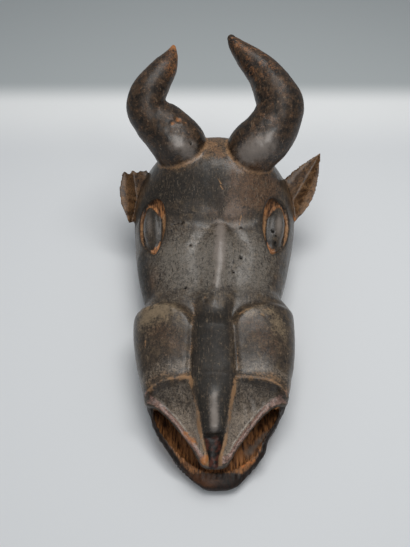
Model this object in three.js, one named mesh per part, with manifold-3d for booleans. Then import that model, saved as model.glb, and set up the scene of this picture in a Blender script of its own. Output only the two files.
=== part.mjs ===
// A carved wooden buffalo helmet mask, lying on its rim, one solid piece of wood.
// Millimetres, +Z up. The muzzle points to -Y and the horns lean back to +Y.
// While it is shaped, y = 0 is the front of the lower jaw, x = 0 the middle of the head and
// z = 0 the surface it lies on. At the end it is moved so that the middle of its box is x = y = 0.

import * as THREE from 'three';
import { mergeVertices } from 'three/addons/utils/BufferGeometryUtils.js';
import Module from 'manifold-3d';

const wasm = await Module();
wasm.setup();

// Driving dimensions
const HELMET_BACK = 502;          // y of the back wall
const WALL = 14;                  // thickness of the helmet's sides and back
const ROOF = 17;                  // thickness of its top
const JAW_FLOOR = 10;             // thickness of the lower jaw's floor
const CREST_Y = 108;              // y of the sharp crest above each nostril
const LIP_TIP_Y = 14;             // y of the middle of the upper lip
const LIP_RUN = 75;               // how far back the corners of the mouth are from it
const MOUTH_CORNER_Y = 84;        // y where the open part of the mouth ends
const LIP_TIP_U = -0.03;          // where the lip's tip is across the head, from -1 to 1
const NOSE_SHIFT = -4;            // the nose sits a little off the middle
const STEP_Y = 180;               // y where the muzzle pads end, beside the nose
const STEP_SWEEP = 34;            // how far further back that edge is at the sides
const STEP_BEND = 20;             // how fast it gets there
const BACK_BEND = 72;             // how far forward the back's rounding in plan reaches

// The outer form, in stations along the head: half widths to the left and right, height of the
// middle, height of the widest line and squareness of the arch
const HEAD = [
  { y: 88, left: 86, right: 86, top: 84, waist: 48, power: 4.0 },
  { y: 108, left: 92, right: 92, top: 85, waist: 48, power: 4.0 },
  { y: 122, left: 96, right: 95, top: 86, waist: 48, power: 3.6 },
  { y: 140, left: 101, right: 100, top: 91, waist: 48, power: 3.2 },
  { y: 175, left: 108, right: 105, top: 104, waist: 49, power: 2.9 },
  { y: 203, left: 110, right: 106, top: 111, waist: 50, power: 2.8 },
  { y: 214, left: 107, right: 106, top: 112, waist: 50, power: 2.7 },
  { y: 223, left: 102, right: 103, top: 111, waist: 50, power: 2.6 },
  { y: 232, left: 97, right: 97, top: 109, waist: 50, power: 2.5 },
  { y: 243, left: 98, right: 91, top: 109, waist: 50, power: 2.4 },
  { y: 258, left: 102, right: 95, top: 112, waist: 50, power: 2.4 },
  { y: 285, left: 109, right: 103, top: 118, waist: 50, power: 2.4 },
  { y: 328, left: 117, right: 114, top: 125, waist: 50, power: 2.35 },
  { y: 346, left: 119, right: 118, top: 136, waist: 50, power: 2.25 },
  { y: 372, left: 122, right: 123, top: 156, waist: 50, power: 2.15 },
  { y: 400, left: 124, right: 126, top: 173, waist: 50, power: 2.1 },
  { y: 428, left: 122, right: 124, top: 179, waist: 50, power: 2.05 },
  { y: 452, left: 117, right: 118, top: 178, waist: 50, power: 2.0 },
  { y: 474, left: 110, right: 110, top: 165, waist: 50, power: 2.0 },
  { y: 490, left: 103, right: 103, top: 142, waist: 48, power: 2.0 },
  { y: 502, left: 98, right: 98, top: 95, waist: 45, power: 2.0 },
];

// Height of the face beside the nose, where the muzzle pads don't raise it
const FACE = [
  { y: 108, top: 85 },
  { y: 150, top: 92 },
  { y: 200, top: 99 },
  { y: 240, top: 105 },
  { y: 285, top: 117 },
  { y: 328, top: 125 },
];

// The ridge of the nose: its middle line, half width and height over the face
const NOSE = [
  { y: 19, middle: NOSE_SHIFT, half: 7.5, rise: 8 },
  { y: 40, middle: NOSE_SHIFT, half: 13, rise: 8 },
  { y: 75, middle: NOSE_SHIFT, half: 19.8, rise: 8 },
  { y: 108, middle: NOSE_SHIFT, half: 26.5, rise: 8 },
  { y: 150, middle: NOSE_SHIFT, half: 25, rise: 6 },
  { y: 180, middle: NOSE_SHIFT, half: 23.5, rise: 7 },
  { y: 203, middle: -2, half: 22, rise: 9 },
  { y: 228, middle: 1, half: 24, rise: 7.5 },
  { y: 255, middle: 4.5, half: 29, rise: 8 },
  { y: 285, middle: 7, half: 30, rise: 8 },
  { y: 308, middle: 8, half: 21, rise: 7 },
  { y: 325, middle: 8, half: 12, rise: 5 },
  { y: 340, middle: 8, half: 8, rise: 0 },
];

// What the lower jaw's outline gains or loses on each side against an even curve
const JAW = [
  { y: 0, left: 0, right: 1 },
  { y: 3, left: -3.5, right: 0.5 },
  { y: 11, left: -6.2, right: -3.6 },
  { y: 24, left: -3.8, right: -2.4 },
  { y: 38, left: -3.1, right: -2 },
  { y: 50, left: -1.2, right: -5.6 },
  { y: 60, left: 0.2, right: -5 },
  { y: 73, left: 1.2, right: -1.6 },
  { y: 90, left: -1.5, right: -1.6 },
];

const NOSE_TIP_Y = 47;            // in front of it the nose drops into the hollow over the lip

// One horn each side, from its root inside the head: a thick lobe that swings out, then a sharp
// bend and a tapering length that turns back, up and in
const HORNS = [
  {
    path: [[-45, 445, 132], [-47, 445, 158], [-53, 446, 174], [-70, 455, 191], [-88, 463, 205],
      [-98, 469, 219], [-95, 478, 235], [-83, 495, 248], [-69, 513, 260], [-62, 525, 269],
      [-59, 537, 276]],
    radii: [36, 39, 40, 37, 32.5, 29, 26, 22, 17, 10, 3.5],
  },
  {
    path: [[48, 440, 132], [52, 437, 158], [58, 436, 174], [75, 441, 191], [87, 454, 206],
      [93, 468, 222], [84, 484, 239], [70, 506, 252], [47, 521, 268], [28, 536, 281],
      [22, 543, 287]],
    radii: [36, 38, 39, 38, 36, 34.5, 29.5, 24, 17.5, 9.5, 5],
  },
];
const HORN_BEND = 5;              // the point of each path where the lobe ends
const HORN_OVERLAP = 2;           // points before it where the tapering length begins
const HORN_SIDES = 15;

// Each ear is a leaf on a line from its root on the head to its tip, given for the right side;
// the left one is mirrored and has lost its tip
const EARS = [
  { side: 1, root: [118, 412, 92], tip: [162, 461, 146], half: 28, broken: false },
  { side: -1, root: [115, 412, 92], tip: [126, 460, 150], half: 29, broken: true },
];
const EAR_FACE = [-0.119, -0.686, 0.718];   // the way the hollow side looks
const EAR_BREAK = 44;                       // where the broken ear ends

const EYES = [
  { x: -91, y: 336 },
  { x: 89, y: 336 },
];
const EYE_LENGTH = 88;            // of the sunk almond round each eyeball
const EYE_WIDTH = 68;
const EYE_DEPTH = 6.5;
const EYE_LEAN = 6.5;             // how far the almond's ends lean towards the nose
const BALL = [15.6, 38, 9.5];     // half sizes of the eyeball: across, along and outwards
const BALL_PLACE = [2.3, 5.5];    // its middle, away from the nose and along the eye

const clamp = (value, low, high) => Math.min(high, Math.max(low, value));
const mix = (a, b, t) => a + (b - a) * t;
const ease = (t) => {
  const c = clamp(t, 0, 1);
  return c * c * (3 - 2 * c);
};

// A smooth reading of one column of a station table, level beyond its ends
function read(table, key, y) {
  const last = table.length - 1;
  if (y <= table[0].y) return table[0][key];
  if (y >= table[last].y) return table[last][key];
  const i = table.findIndex((row) => row.y > y) - 1;
  const slope = (k) => {
    if (k === 0 || k === last) return 0;
    return (table[k + 1][key] - table[k - 1][key]) / (table[k + 1].y - table[k - 1].y);
  };
  const span = table[i + 1].y - table[i].y;
  const t = (y - table[i].y) / span;
  const rise = table[i + 1][key] - table[i][key];
  return table[i][key] + rise * t * t * (3 - 2 * t)
    + span * (slope(i) * t * (1 - t) * (1 - t) - slope(i + 1) * t * t * (1 - t));
}

const arch = (u, power) => (1 - Math.abs(u) ** power) ** (1 / power);
const bell = (x, width) => Math.exp(-((x / width) ** 2));

// Plan line of the upper lip, a V with a blunt tip; u runs from -1 to 1 across the head
function lipY(u) {
  const off = Math.abs(u - LIP_TIP_U);
  return LIP_TIP_Y + LIP_RUN * ease(off ** 0.9 - 0.1 * bell(off - 0.14, 0.1));
}

const crestY = (u) => CREST_Y + 2 - 16 * u ** 4;

// Half widths of the lower jaw's rounded outline: the even curve, y behind its front, and one
// side of the real one
const jawCurve = (y) => 14.2 * y ** 0.402;
const jawHalf = (side, y) => jawCurve(y) + read(JAW, side < 0 ? 'left' : 'right', y);

// Height of the nostrils, the lips and the front of the nose
function frontHeight(x, y, u) {
  const off = Math.abs(x - NOSE_SHIFT);
  const half = read(NOSE, 'half', y);
  const edge = 50 + 34.5 * Math.max(0, (y - 10) / 98) ** 0.8;
  if (off < half) {
    const dome = Math.sqrt(1 - (off / half) ** 2);
    return edge + mix(-7, 8, ease((y - NOSE_TIP_Y + 4) / 8)) * dome;
  }
  const lip = 50 + 8 * Math.abs(u) ** 0.7;
  const t = clamp((crestY(u) - y) / (crestY(u) - lipY(u)), 0, 1);
  const sink = 1.06 * (1 - (1 - t) ** 2.6) - 0.06 * t ** 8;
  const scoop = mix(85, lip, sink);
  return scoop + (edge - scoop) * Math.exp(-(((off - half) / 6) ** 1.2));
}

// Height of the pads, the face, the forehead and the back
function backHeight(x, y) {
  const off = Math.abs(x - read(NOSE, 'middle', y));
  const half = read(NOSE, 'half', y);
  const drop = Math.exp(-Math.max(0, off - 24) / STEP_BEND);
  const slant = Math.hypot(1, (STEP_SWEEP / STEP_BEND) * drop);
  const pad = ease((STEP_Y + STEP_SWEEP * (1 - drop) - y) / (13 * slant) + 0.5);
  const high = read(HEAD, 'top', y);
  const low = y < 328 ? read(FACE, 'top', y) : high;
  let height = mix(low, high, Math.max(pad, ease((y - 270) / 40)));
  if (off < half) {
    const dome = 1 - (off / half) ** 2;
    const tent = (1 - off / half) ** 1.5;
    height += read(NOSE, 'rise', y) * mix(Math.sqrt(dome), tent, ease((y - 190) / 45));
  }
  const beside = ease((y - CREST_Y) / 15) * ease((205 - y) / 20);
  height -= 2.5 * beside * bell(off - half - 2, 4);
  height -= 2.5 * bell(y - 306, 24) * bell(off - half - 5, 9);
  height -= 2.5 * bell(y - 332 - 0.004 * x * x, 12);
  return height;
}

// A point of the outer skin; u from -1 to 1 across and y along
function skin(u, y) {
  const half = read(HEAD, u < 0 ? 'left' : 'right', y);
  const x = u * half;
  const waist = read(HEAD, 'waist', y);
  const joined = ease((y - crestY(u) + 3) / 6);
  const height = mix(frontHeight(x, y, u), backHeight(x, y), joined);
  return [x, y, waist + (height - waist) * arch(u, read(HEAD, 'power', y))];
}

// Rows of the outer skin: along the lip, up to the nostril crest and then back over the head
function skinRows() {
  const rows = [];
  const frontRows = 11;
  for (let i = 0; i < frontRows; i += 1) {
    rows.push((u) => mix(lipY(u), crestY(u), i / frontRows));
  }
  const spans = [[CREST_Y, 180, 6], [180, 252, 9], [252, 330, 5], [330, 450, 8],
    [450, HELMET_BACK, 6]];
  for (const [from, to, count] of spans) {
    for (let i = 0; i < count; i += 1) {
      const y = mix(from, to, i / count);
      rows.push((u) => backRow(u, y));
    }
  }
  rows.push((u) => backRow(u, HELMET_BACK));
  return rows;
}

function backRow(u, y) {
  const front = (CREST_Y - crestY(u)) * ease((150 - y) / 42);
  return roundedRow(u, y, HELMET_BACK) - front;
}

// Rows bend more and more towards the back, where they end in half an ellipse
function roundedRow(u, y, back) {
  const bend = BACK_BEND * ease((y - 380) / (back - 380));
  return y - bend * (1 - Math.sqrt(1 - Math.abs(u) ** 2.3));
}

// Where a column of the outer skin crosses a row: some follow the edges of the nose and the rest
// spread from there to the side
function skinColumn(q, row) {
  const noseShare = 0.28;
  const side = Math.sign(q) || 1;
  let u = q;
  for (let i = 0; i < 4; i += 1) {
    const y = row(u);
    const width = read(HEAD, side < 0 ? 'left' : 'right', y);
    const middle = read(NOSE, 'middle', y);
    const half = read(NOSE, 'half', y);
    const beyond = Math.max(0, (Math.abs(q) - noseShare) / (1 - noseShare));
    const x = Math.abs(q) <= noseShare
      ? middle + (half * q) / noseShare
      : mix(middle + side * half, side * width, Math.sin((Math.PI / 2) * beyond));
    u = clamp(x / width, -1, 1);
  }
  return u;
}

// A closed body from corners and the triangles between them
function solid(points, faces) {
  const mesh = new wasm.Mesh({
    numProp: 3,
    vertProperties: new Float32Array(points.flat()),
    triVerts: new Uint32Array(faces.flat()),
  });
  const body = new wasm.Manifold(mesh);
  if (body.volume() < 0) throw new Error('a body is inside out');
  return body;
}

// The same from a closed geometry, welded where its vertices meet
function solidOf(source) {
  const geometry = source.clone();
  geometry.deleteAttribute('normal');
  geometry.deleteAttribute('uv');
  const welded = mergeVertices(geometry, 1e-3);
  const position = welded.attributes.position;
  const points = [];
  for (let i = 0; i < position.count; i += 1) {
    points.push([position.getX(i), position.getY(i), position.getZ(i)]);
  }
  const faces = [];
  const index = welded.index.array;
  for (let i = 0; i < index.length; i += 3) {
    const [a, b, c] = [index[i], index[i + 1], index[i + 2]];
    if (a !== b && b !== c && c !== a) faces.push([a, b, c]);
  }
  return solid(points, faces);
}

// A body through sections that all have the same number of corners
function tube(points, size) {
  const last = points.length / size - 1;
  const faces = [];
  for (let r = 0; r < last; r += 1) {
    for (let k = 0; k < size; k += 1) {
      const [a, b] = [r * size + k, r * size + ((k + 1) % size)];
      faces.push([a, b, b + size], [a, b + size, a + size]);
    }
  }
  const end = last * size;
  for (let k = 1; k < size - 1; k += 1) {
    faces.push([0, k + 1, k], [end, end + k, end + k + 1]);
  }
  return solid(points, faces);
}

// Triangles of a flat-bottomed outline, all looking the way asked for
function capFaces(points, loop, upwards) {
  const contour = loop.map((i) => new THREE.Vector2(points[i][0], points[i][1]));
  const wind = THREE.ShapeUtils.isClockWise(contour) ? -1 : 1;
  const faces = THREE.ShapeUtils.triangulateShape(contour, []);
  return faces.map(([a, b, c]) => {
    const turned = (wind > 0) === upwards;
    return turned ? [loop[a], loop[b], loop[c]] : [loop[a], loop[c], loop[b]];
  });
}

function evenColumn(q) {
  return Math.sign(q) * Math.sin((Math.PI / 2) * Math.abs(q) ** 1.2) ** 0.8;
}

// A body under an arched surface, down to a flat bottom: rows run across it, and in each row the
// upper columns follow the arch and the side columns go down from its widest line
function underArch({ rows, upper, sides, column = evenColumn, point, waist, bottom, tuck }) {
  const columns = upper + 2 * sides;
  const points = [];
  for (const row of rows) {
    for (let c = 0; c <= columns; c += 1) {
      const down = Math.max(0, Math.abs(c - columns / 2) - upper / 2) / sides;
      const u = column(clamp((c - columns / 2) / (upper / 2), -1, 1), row);
      const [x, y, z] = point(u, row(u));
      points.push(down > 0
        ? [x * (1 - tuck * down * down), y, mix(waist(y), bottom, down)]
        : [x, y, z]);
    }
  }
  const at = (r, c) => r * (columns + 1) + c;
  const faces = [];
  const quad = (a, b, c, d) => faces.push([a, b, c], [a, c, d]);
  for (let r = 0; r < rows.length - 1; r += 1) {
    for (let c = 0; c < columns; c += 1) {
      const ring = [at(r, c), at(r, c + 1), at(r + 1, c + 1), at(r + 1, c)];
      quad(...(c < columns / 2 ? [...ring.slice(1), ring[0]] : ring));
    }
  }
  const loop = [];
  for (let r = rows.length - 1; r >= 0; r -= 1) loop.push(at(r, 0));
  const front = curtain(points, faces, 0, { columns, sides, bottom, tuck });
  loop.push(...front);
  for (let r = 0; r < rows.length; r += 1) loop.push(at(r, columns));
  const back = curtain(points, faces, at(rows.length - 1, 0), { columns, sides, bottom, tuck });
  loop.push(...back.reverse());
  faces.push(...capFaces(points, loop, false));
  return solid(points, faces);
}

// The upright end of such a body under its first or last row; gives the points along its foot
function curtain(points, faces, start, { columns, sides, bottom, tuck }) {
  const foot = [];
  for (let c = sides + 1; c < columns - sides; c += 1) {
    const [x, y] = points[start + c];
    foot.push(points.length);
    points.push([x * (1 - tuck), y, bottom]);
  }
  const below = (c) => {
    if (c <= sides) return start;
    return c < columns - sides ? foot[c - sides - 1] : start + columns;
  };
  for (let c = 0; c < columns; c += 1) {
    const faced = [[start + c, below(c), below(c + 1)], [start + c, below(c + 1), start + c + 1]];
    for (const [i, j, k] of faced) {
      if (i !== j && j !== k && k !== i) faces.push(start === 0 ? [i, j, k] : [i, k, j]);
    }
  }
  return foot;
}

function outerHead() {
  return underArch({
    rows: skinRows(),
    upper: 34,
    sides: 3,
    column: skinColumn,
    point: skin,
    waist: (y) => read(HEAD, 'waist', y),
    bottom: 0,
    tuck: 0.06,
  });
}

// The hollow for the wearer's head, open below
function helmetHollow() {
  const count = 15;
  const rows = [];
  for (let i = 0; i <= count; i += 1) {
    const y = mix(150, HELMET_BACK - WALL, i / count);
    rows.push((u) => roundedRow(u, y, HELMET_BACK - WALL));
  }
  const point = (u, y) => {
    const half = read(HEAD, u < 0 ? 'left' : 'right', y) - WALL;
    const low = y < 328 ? read(FACE, 'top', y) : read(HEAD, 'top', y);
    const waist = read(HEAD, 'waist', y);
    const height = Math.min(low, mix(read(HEAD, 'top', y + 18), 240, ease((470 - y) / 60)));
    return [u * half, y, waist + (height - ROOF - waist) * arch(u, read(HEAD, 'power', y))];
  };
  return underArch({
    rows,
    upper: 20,
    sides: 2,
    point,
    waist: (y) => read(HEAD, 'waist', y),
    bottom: -5,
    tuck: 0.05,
  });
}

// The hollow of the mouth, from inside the lower lip back to the helmet's hollow
function mouthHollow() {
  const lipInside = 17;           // y of the inside of the lower lip
  const sideInside = 12;          // the same reach at the sides, where the lip is thinner
  const ends = 178;
  const count = 15;
  const rows = [];
  for (let i = 0; i <= count; i += 1) {
    const y = lipInside + 0.4 + (ends - lipInside - 0.4) * (i / count) ** 1.7;
    rows.push(() => y);
  }
  const waist = (y) => mix(Math.max(20, rimHeight(y) - 4), 20, ease((y - 84) / 30));
  const point = (u, y) => {
    const reach = mix(lipInside, sideInside, ease((y - 20) / 45));
    const inJaw = jawHalf(u, y) - jawCurve(y) + jawCurve(y - reach);
    const inHead = read(HEAD, 'right', y) - WALL;
    const half = mix(inJaw, inHead, ease((y - 96) / 30));
    const roof = mix(roofHeight(y), 72, ease((y - 92) / 50));
    return [u * half, y, mix(waist(y), roof, arch(u, 6))];
  };
  return underArch({
    rows,
    upper: 14,
    sides: 3,
    point,
    waist,
    bottom: JAW_FLOOR,
    tuck: 0.3,
  });
}

const rimHeight = (y) => 24 + 24 * (clamp(y, 0, 90) / 90) ** 1.2;
const roofHeight = (y) => 38 + 9 * ease((y - LIP_TIP_Y) / 50);

// What is cut away below the upper lip, all round its front, before the lower jaw is added
function lipGap() {
  const steps = 8;
  const reach = 130;
  const points = [];
  for (let i = 0; i <= steps; i += 1) {
    const y = mix(-10, MOUTH_CORNER_Y, i / steps);
    const high = roofHeight(y);
    points.push([-reach, y, high], [reach, y, high], [reach, y, -5], [-reach, y, -5]);
  }
  return tube(points, 4);
}

// The lower jaw before it is hollowed: its outline stacked in rings, each set in from it
function lowerJaw() {
  const steps = 14;
  const ends = 104;
  const line = [];
  for (let i = 0; i <= steps; i += 1) line.push(0.3 + (ends - 0.3) * (i / steps) ** 2);
  const rings = [
    { inset: (side) => mix(5, 11, side ** 0.3), level: () => 0 },
    { inset: (side) => mix(0, 7, side ** 0.3), level: () => 4 },
    { inset: (side) => mix(0, 3.5, side), level: () => 13 },
    { inset: (side) => mix(6, 0.5, side), level: (side, y) => mix(18, rimHeight(y) - 5, side) },
    { inset: (side) => mix(18, 4, side), level: (side, y) => rimHeight(y) },
  ];
  const spot = (side, ring, y) => {
    const front = ease(y / 40);
    const slope = (jawHalf(side, y + 0.1) - jawHalf(side, y)) / 0.1;
    const length = Math.hypot(1, slope);
    const inset = mix(ring.inset(front), 3, 0.7 * ease((y - 55) / 30));
    const x = jawHalf(side, y) - 2.5 * ease((y - 80) / 20) - inset / length;
    return [side * x, y + (inset * slope) / length, ring.level(front, y)];
  };
  const points = [];
  for (const ring of rings) {
    points.push(...line.map((y) => spot(-1, ring, y)).reverse());
    points.push(...line.map((y) => spot(1, ring, y)));
  }
  const size = 2 * line.length;
  const faces = [];
  for (let k = 0; k < rings.length - 1; k += 1) {
    for (let i = 0; i < size; i += 1) {
      const j = (i + 1) % size;
      faces.push([k * size + i, k * size + j, (k + 1) * size + j]);
      faces.push([k * size + i, (k + 1) * size + j, (k + 1) * size + i]);
    }
  }
  const ladder = (start, upwards) => {
    for (let i = 0; i < line.length - 1; i += 1) {
      const [a, b] = [start + i, start + i + 1];
      const [c, d] = [start + size - 2 - i, start + size - 1 - i];
      faces.push(upwards ? [a, b, c] : [a, c, b]);
      faces.push(upwards ? [a, c, d] : [a, d, c]);
    }
  };
  ladder(0, false);
  ladder((rings.length - 1) * size, true);
  return solid(points, faces);
}

// A round length that tapers along a smooth line
function taper(places, radii, rings, sides) {
  const curve = new THREE.CatmullRomCurve3(places.map((p) => new THREE.Vector3(...p)));
  const frames = curve.computeFrenetFrames(rings, false);
  const radiusLine = new THREE.SplineCurve(radii.map((r, i) => new THREE.Vector2(i, r)));
  const points = [];
  for (let r = 0; r <= rings; r += 1) {
    const t = curve.getUtoTmapping(r / rings);
    const centre = curve.getPoint(t);
    const radius = radiusLine.getPoint(t).y;
    for (let k = 0; k < sides; k += 1) {
      const angle = (2 * Math.PI * k) / sides;
      const spot = centre.clone();
      spot.addScaledVector(frames.normals[r], radius * Math.cos(angle));
      spot.addScaledVector(frames.binormals[r], radius * Math.sin(angle));
      points.push(spot.toArray());
    }
  }
  const faces = [];
  for (let r = 0; r < rings; r += 1) {
    for (let k = 0; k < sides; k += 1) {
      const [a, b] = [r * sides + k, r * sides + ((k + 1) % sides)];
      faces.push([a, b, b + sides]);
      faces.push([a, b + sides, a + sides]);
    }
  }
  const endPoint = curve.getPoint(1).addScaledVector(frames.tangents[rings], radii.at(-1) * 0.6);
  points.push(curve.getPoint(0).toArray(), endPoint.toArray());
  for (let k = 0; k < sides; k += 1) {
    const next = (k + 1) % sides;
    faces.push([next, k, points.length - 2]);
    faces.push([rings * sides + k, rings * sides + next, points.length - 1]);
  }
  return solid(points, faces);
}

// The lobe and the tapering length share a stretch, where the second lies just inside the first
function horn({ path, radii }) {
  const inside = 0.8;
  const start = HORN_BEND - HORN_OVERLAP;
  const lobeRadii = radii.slice(0, HORN_BEND + 1);
  const shaftRadii = radii.slice(start);
  lobeRadii[HORN_BEND] -= 4;
  shaftRadii[0] -= inside;
  shaftRadii[1] -= inside;
  const lobe = taper(path.slice(0, HORN_BEND + 1), lobeRadii, 10, HORN_SIDES);
  return lobe.add(taper(path.slice(start), shaftRadii, 16, HORN_SIDES));
}

// The leaf of one ear in its own frame: along is towards the tip, across is towards the outside
function ear({ side, root: rootPlace, tip, half: widest, broken }) {
  const root = new THREE.Vector3(...rootPlace);
  const along = new THREE.Vector3(...tip).sub(root);
  const length = along.length();
  along.normalize();
  const face = new THREE.Vector3(...EAR_FACE);
  face.addScaledVector(along, -face.dot(along)).normalize();
  const across = new THREE.Vector3().crossVectors(along, face);
  const spot = (a, s, n) => {
    const p = root.clone();
    p.addScaledVector(along, a).addScaledVector(across, s).addScaledVector(face, n);
    return [side * p.x, p.y, p.z];
  };
  const start = -31;
  const steps = 14;
  const profile = [[-1, 0], [-0.55, -0.1], [0.1, -0.75], [0.6, 0.05], [1, 0.2],
    [0.65, -0.85], [0.1, -1.35], [-0.5, -1]];
  if (side < 0) profile.reverse();
  const points = [];
  for (let i = 0; i <= steps; i += 1) {
    const a = mix(start, length, i / steps);
    const tail = clamp(a / start, 0, 1);
    const taperOff = 1 - (Math.max(0, a - 14) / (length - 14)) ** 1.6;
    const half = Math.max(1.2, widest * taperOff * (1 - 0.88 * tail));
    const middle = 18 * tail;
    const thick = mix(13, 5, clamp(a / length, 0, 1));
    for (const [s, n] of profile) points.push(spot(a, middle + s * half, n * thick));
  }
  const leaf = tube(points, profile.length);
  return broken ? leaf.subtract(breakOff(spot)) : leaf;
}

// What is missing from the broken ear: everything past a ragged line across it
function breakOff(spot) {
  const teeth = 6;
  const points = [];
  for (let i = 0; i <= teeth; i += 1) {
    const s = mix(-45, 40, i / teeth);
    const a = EAR_BREAK + 0.05 * s + (i % 2 ? 2.2 : -1.4);
    points.push(spot(a, s, -40), spot(a, s, 40), spot(a + 90, s, 40), spot(a + 90, s, -40));
  }
  return tube(points, 4);
}

// The frame of an eye on the skin: its place, the way along it and the way out of the wood
function eyeFrame({ x, y }) {
  const half = read(HEAD, x < 0 ? 'left' : 'right', y);
  const u = x / half;
  const here = new THREE.Vector3(...skin(u, y));
  const ahead = new THREE.Vector3(...skin(u, y + 25)).sub(new THREE.Vector3(...skin(u, y - 25)));
  const over = new THREE.Vector3(...skin(u + 0.1, y)).sub(new THREE.Vector3(...skin(u - 0.1, y)));
  const out = new THREE.Vector3().crossVectors(over, ahead).normalize();
  const along = ahead.addScaledVector(out, -ahead.dot(out)).normalize();
  const across = new THREE.Vector3().crossVectors(along, out);
  return new THREE.Matrix4().makeBasis(across, along, out).setPosition(here);
}

// The sunk almond of an eye, blunt above and pointed below, straighter towards the nose
function eyeRecess(place, inward) {
  const steps = 12;
  const right = [];
  const left = [];
  for (let i = 0; i <= steps; i += 1) {
    const t = 0.5 - 0.5 * Math.cos((Math.PI * i) / steps);
    const width = (EYE_WIDTH / 2) * 1.56 * t ** 0.75 * (1 - t) ** 0.36;
    const middle = inward * (EYE_LEAN * (2 * t - 1) ** 2 - 1);
    const along = (t - 0.48) * EYE_LENGTH;
    right.push(new THREE.Vector2(middle + width, along));
    if (i > 0 && i < steps) left.unshift(new THREE.Vector2(middle - width, along));
  }
  const cut = new THREE.ExtrudeGeometry(new THREE.Shape([...right, ...left]), {
    depth: 40,
    bevelEnabled: false,
    steps: 1,
  });
  cut.translate(0, 0, -EYE_DEPTH);
  cut.applyMatrix4(place);
  return solidOf(cut);
}

function eyeBall(place, inward) {
  const ball = new THREE.SphereGeometry(1, 14, 10);
  ball.scale(...BALL);
  ball.translate(-inward * BALL_PLACE[0], BALL_PLACE[1], -EYE_DEPTH);
  ball.applyMatrix4(place);
  return solidOf(ball);
}

function carveMask() {
  let mask = outerHead().subtract(lipGap());
  for (const eye of EYES) {
    const place = eyeFrame(eye);
    const inward = -Math.sign(eye.x);
    mask = mask.subtract(eyeRecess(place, inward)).add(eyeBall(place, inward));
  }
  for (const one of HORNS) mask = mask.add(horn(one));
  for (const one of EARS) mask = mask.add(ear(one));
  mask = mask.add(lowerJaw());
  return mask.subtract(helmetHollow()).subtract(mouthHollow());
}

const carved = carveMask().getMesh();
const geometry = new THREE.BufferGeometry();
geometry.setAttribute('position', new THREE.BufferAttribute(carved.vertProperties, 3));
geometry.setIndex(new THREE.BufferAttribute(carved.triVerts, 1));
geometry.computeBoundingBox();
const { min, max } = geometry.boundingBox;
geometry.translate(-(min.x + max.x) / 2, -(min.y + max.y) / 2, -min.z);
geometry.computeVertexNormals();

const wood = new THREE.MeshStandardMaterial({ color: 0x3a2f29, roughness: 0.55, metalness: 0 });
const mask = new THREE.Mesh(geometry, wood);
mask.name = 'mask';

const part = new THREE.Group();
part.add(mask);
export default part;
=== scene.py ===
# A carved wooden buffalo helmet mask: its finely carved surface and old patina, on a pale table.
# The forms are the solid's own, worked out again in fine steps and joined into one surface, which
# then gets its tool marks, pits, cracks and wear. Shapes are in millimetres until they are settled.

import math

import bpy
import numpy as np
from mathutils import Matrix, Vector


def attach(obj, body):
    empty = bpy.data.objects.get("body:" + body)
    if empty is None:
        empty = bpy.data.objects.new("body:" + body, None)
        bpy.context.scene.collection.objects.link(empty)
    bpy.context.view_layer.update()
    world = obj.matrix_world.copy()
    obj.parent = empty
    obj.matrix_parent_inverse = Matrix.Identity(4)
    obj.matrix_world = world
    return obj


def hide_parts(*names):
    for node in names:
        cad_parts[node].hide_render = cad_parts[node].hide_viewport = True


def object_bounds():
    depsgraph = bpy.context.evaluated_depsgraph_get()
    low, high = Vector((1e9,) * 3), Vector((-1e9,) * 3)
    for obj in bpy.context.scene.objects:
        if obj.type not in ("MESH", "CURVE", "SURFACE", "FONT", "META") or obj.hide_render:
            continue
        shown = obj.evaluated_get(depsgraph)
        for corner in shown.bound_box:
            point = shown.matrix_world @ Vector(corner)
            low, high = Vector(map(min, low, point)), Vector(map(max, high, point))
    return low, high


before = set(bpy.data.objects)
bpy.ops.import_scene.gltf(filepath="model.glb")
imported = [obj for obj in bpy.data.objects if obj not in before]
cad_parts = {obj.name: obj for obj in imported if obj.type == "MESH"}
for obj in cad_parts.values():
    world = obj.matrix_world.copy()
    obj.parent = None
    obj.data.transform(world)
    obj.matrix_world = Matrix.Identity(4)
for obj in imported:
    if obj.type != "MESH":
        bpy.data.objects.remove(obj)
cad_low, cad_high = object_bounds()

# From the shaping frame (y = 0 the front of the lower jaw, x = 0 the head's middle) to the part's
SHIFT, METRES = np.array([-8.959, -273.579, 0.0]), 0.001

HELMET_BACK, WALL, ROOF, JAW_FLOOR = 502.0, 14.0, 17.0, 10.0
CREST_Y, LIP_TIP_Y, LIP_TIP_U, LIP_RUN, MOUTH_CORNER_Y = 108.0, 14.0, -0.03, 75.0, 84.0
NOSE_SHIFT, NOSE_TIP_Y, FACE_END, BACK_BEND, HEAD_TUCK = -4.0, 47.0, 328.0, 72.0, 0.06
# The rear edge of the pads beside the nose: where, how far it sweeps back, and over which distance
STEP_Y, STEP_SWEEP, STEP_BEND = 180.0, 34.0, 20.0
SKIN_FRONT, SKIN_BACK = 12.0, 496.0
# The surface's even corners before it is thinned out, and the triangles that it keeps
CORNER_GAP, TRIANGLES = 1.6, 194000
# The rim stays flat below this height
RIM_LEVEL = 0.6

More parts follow.
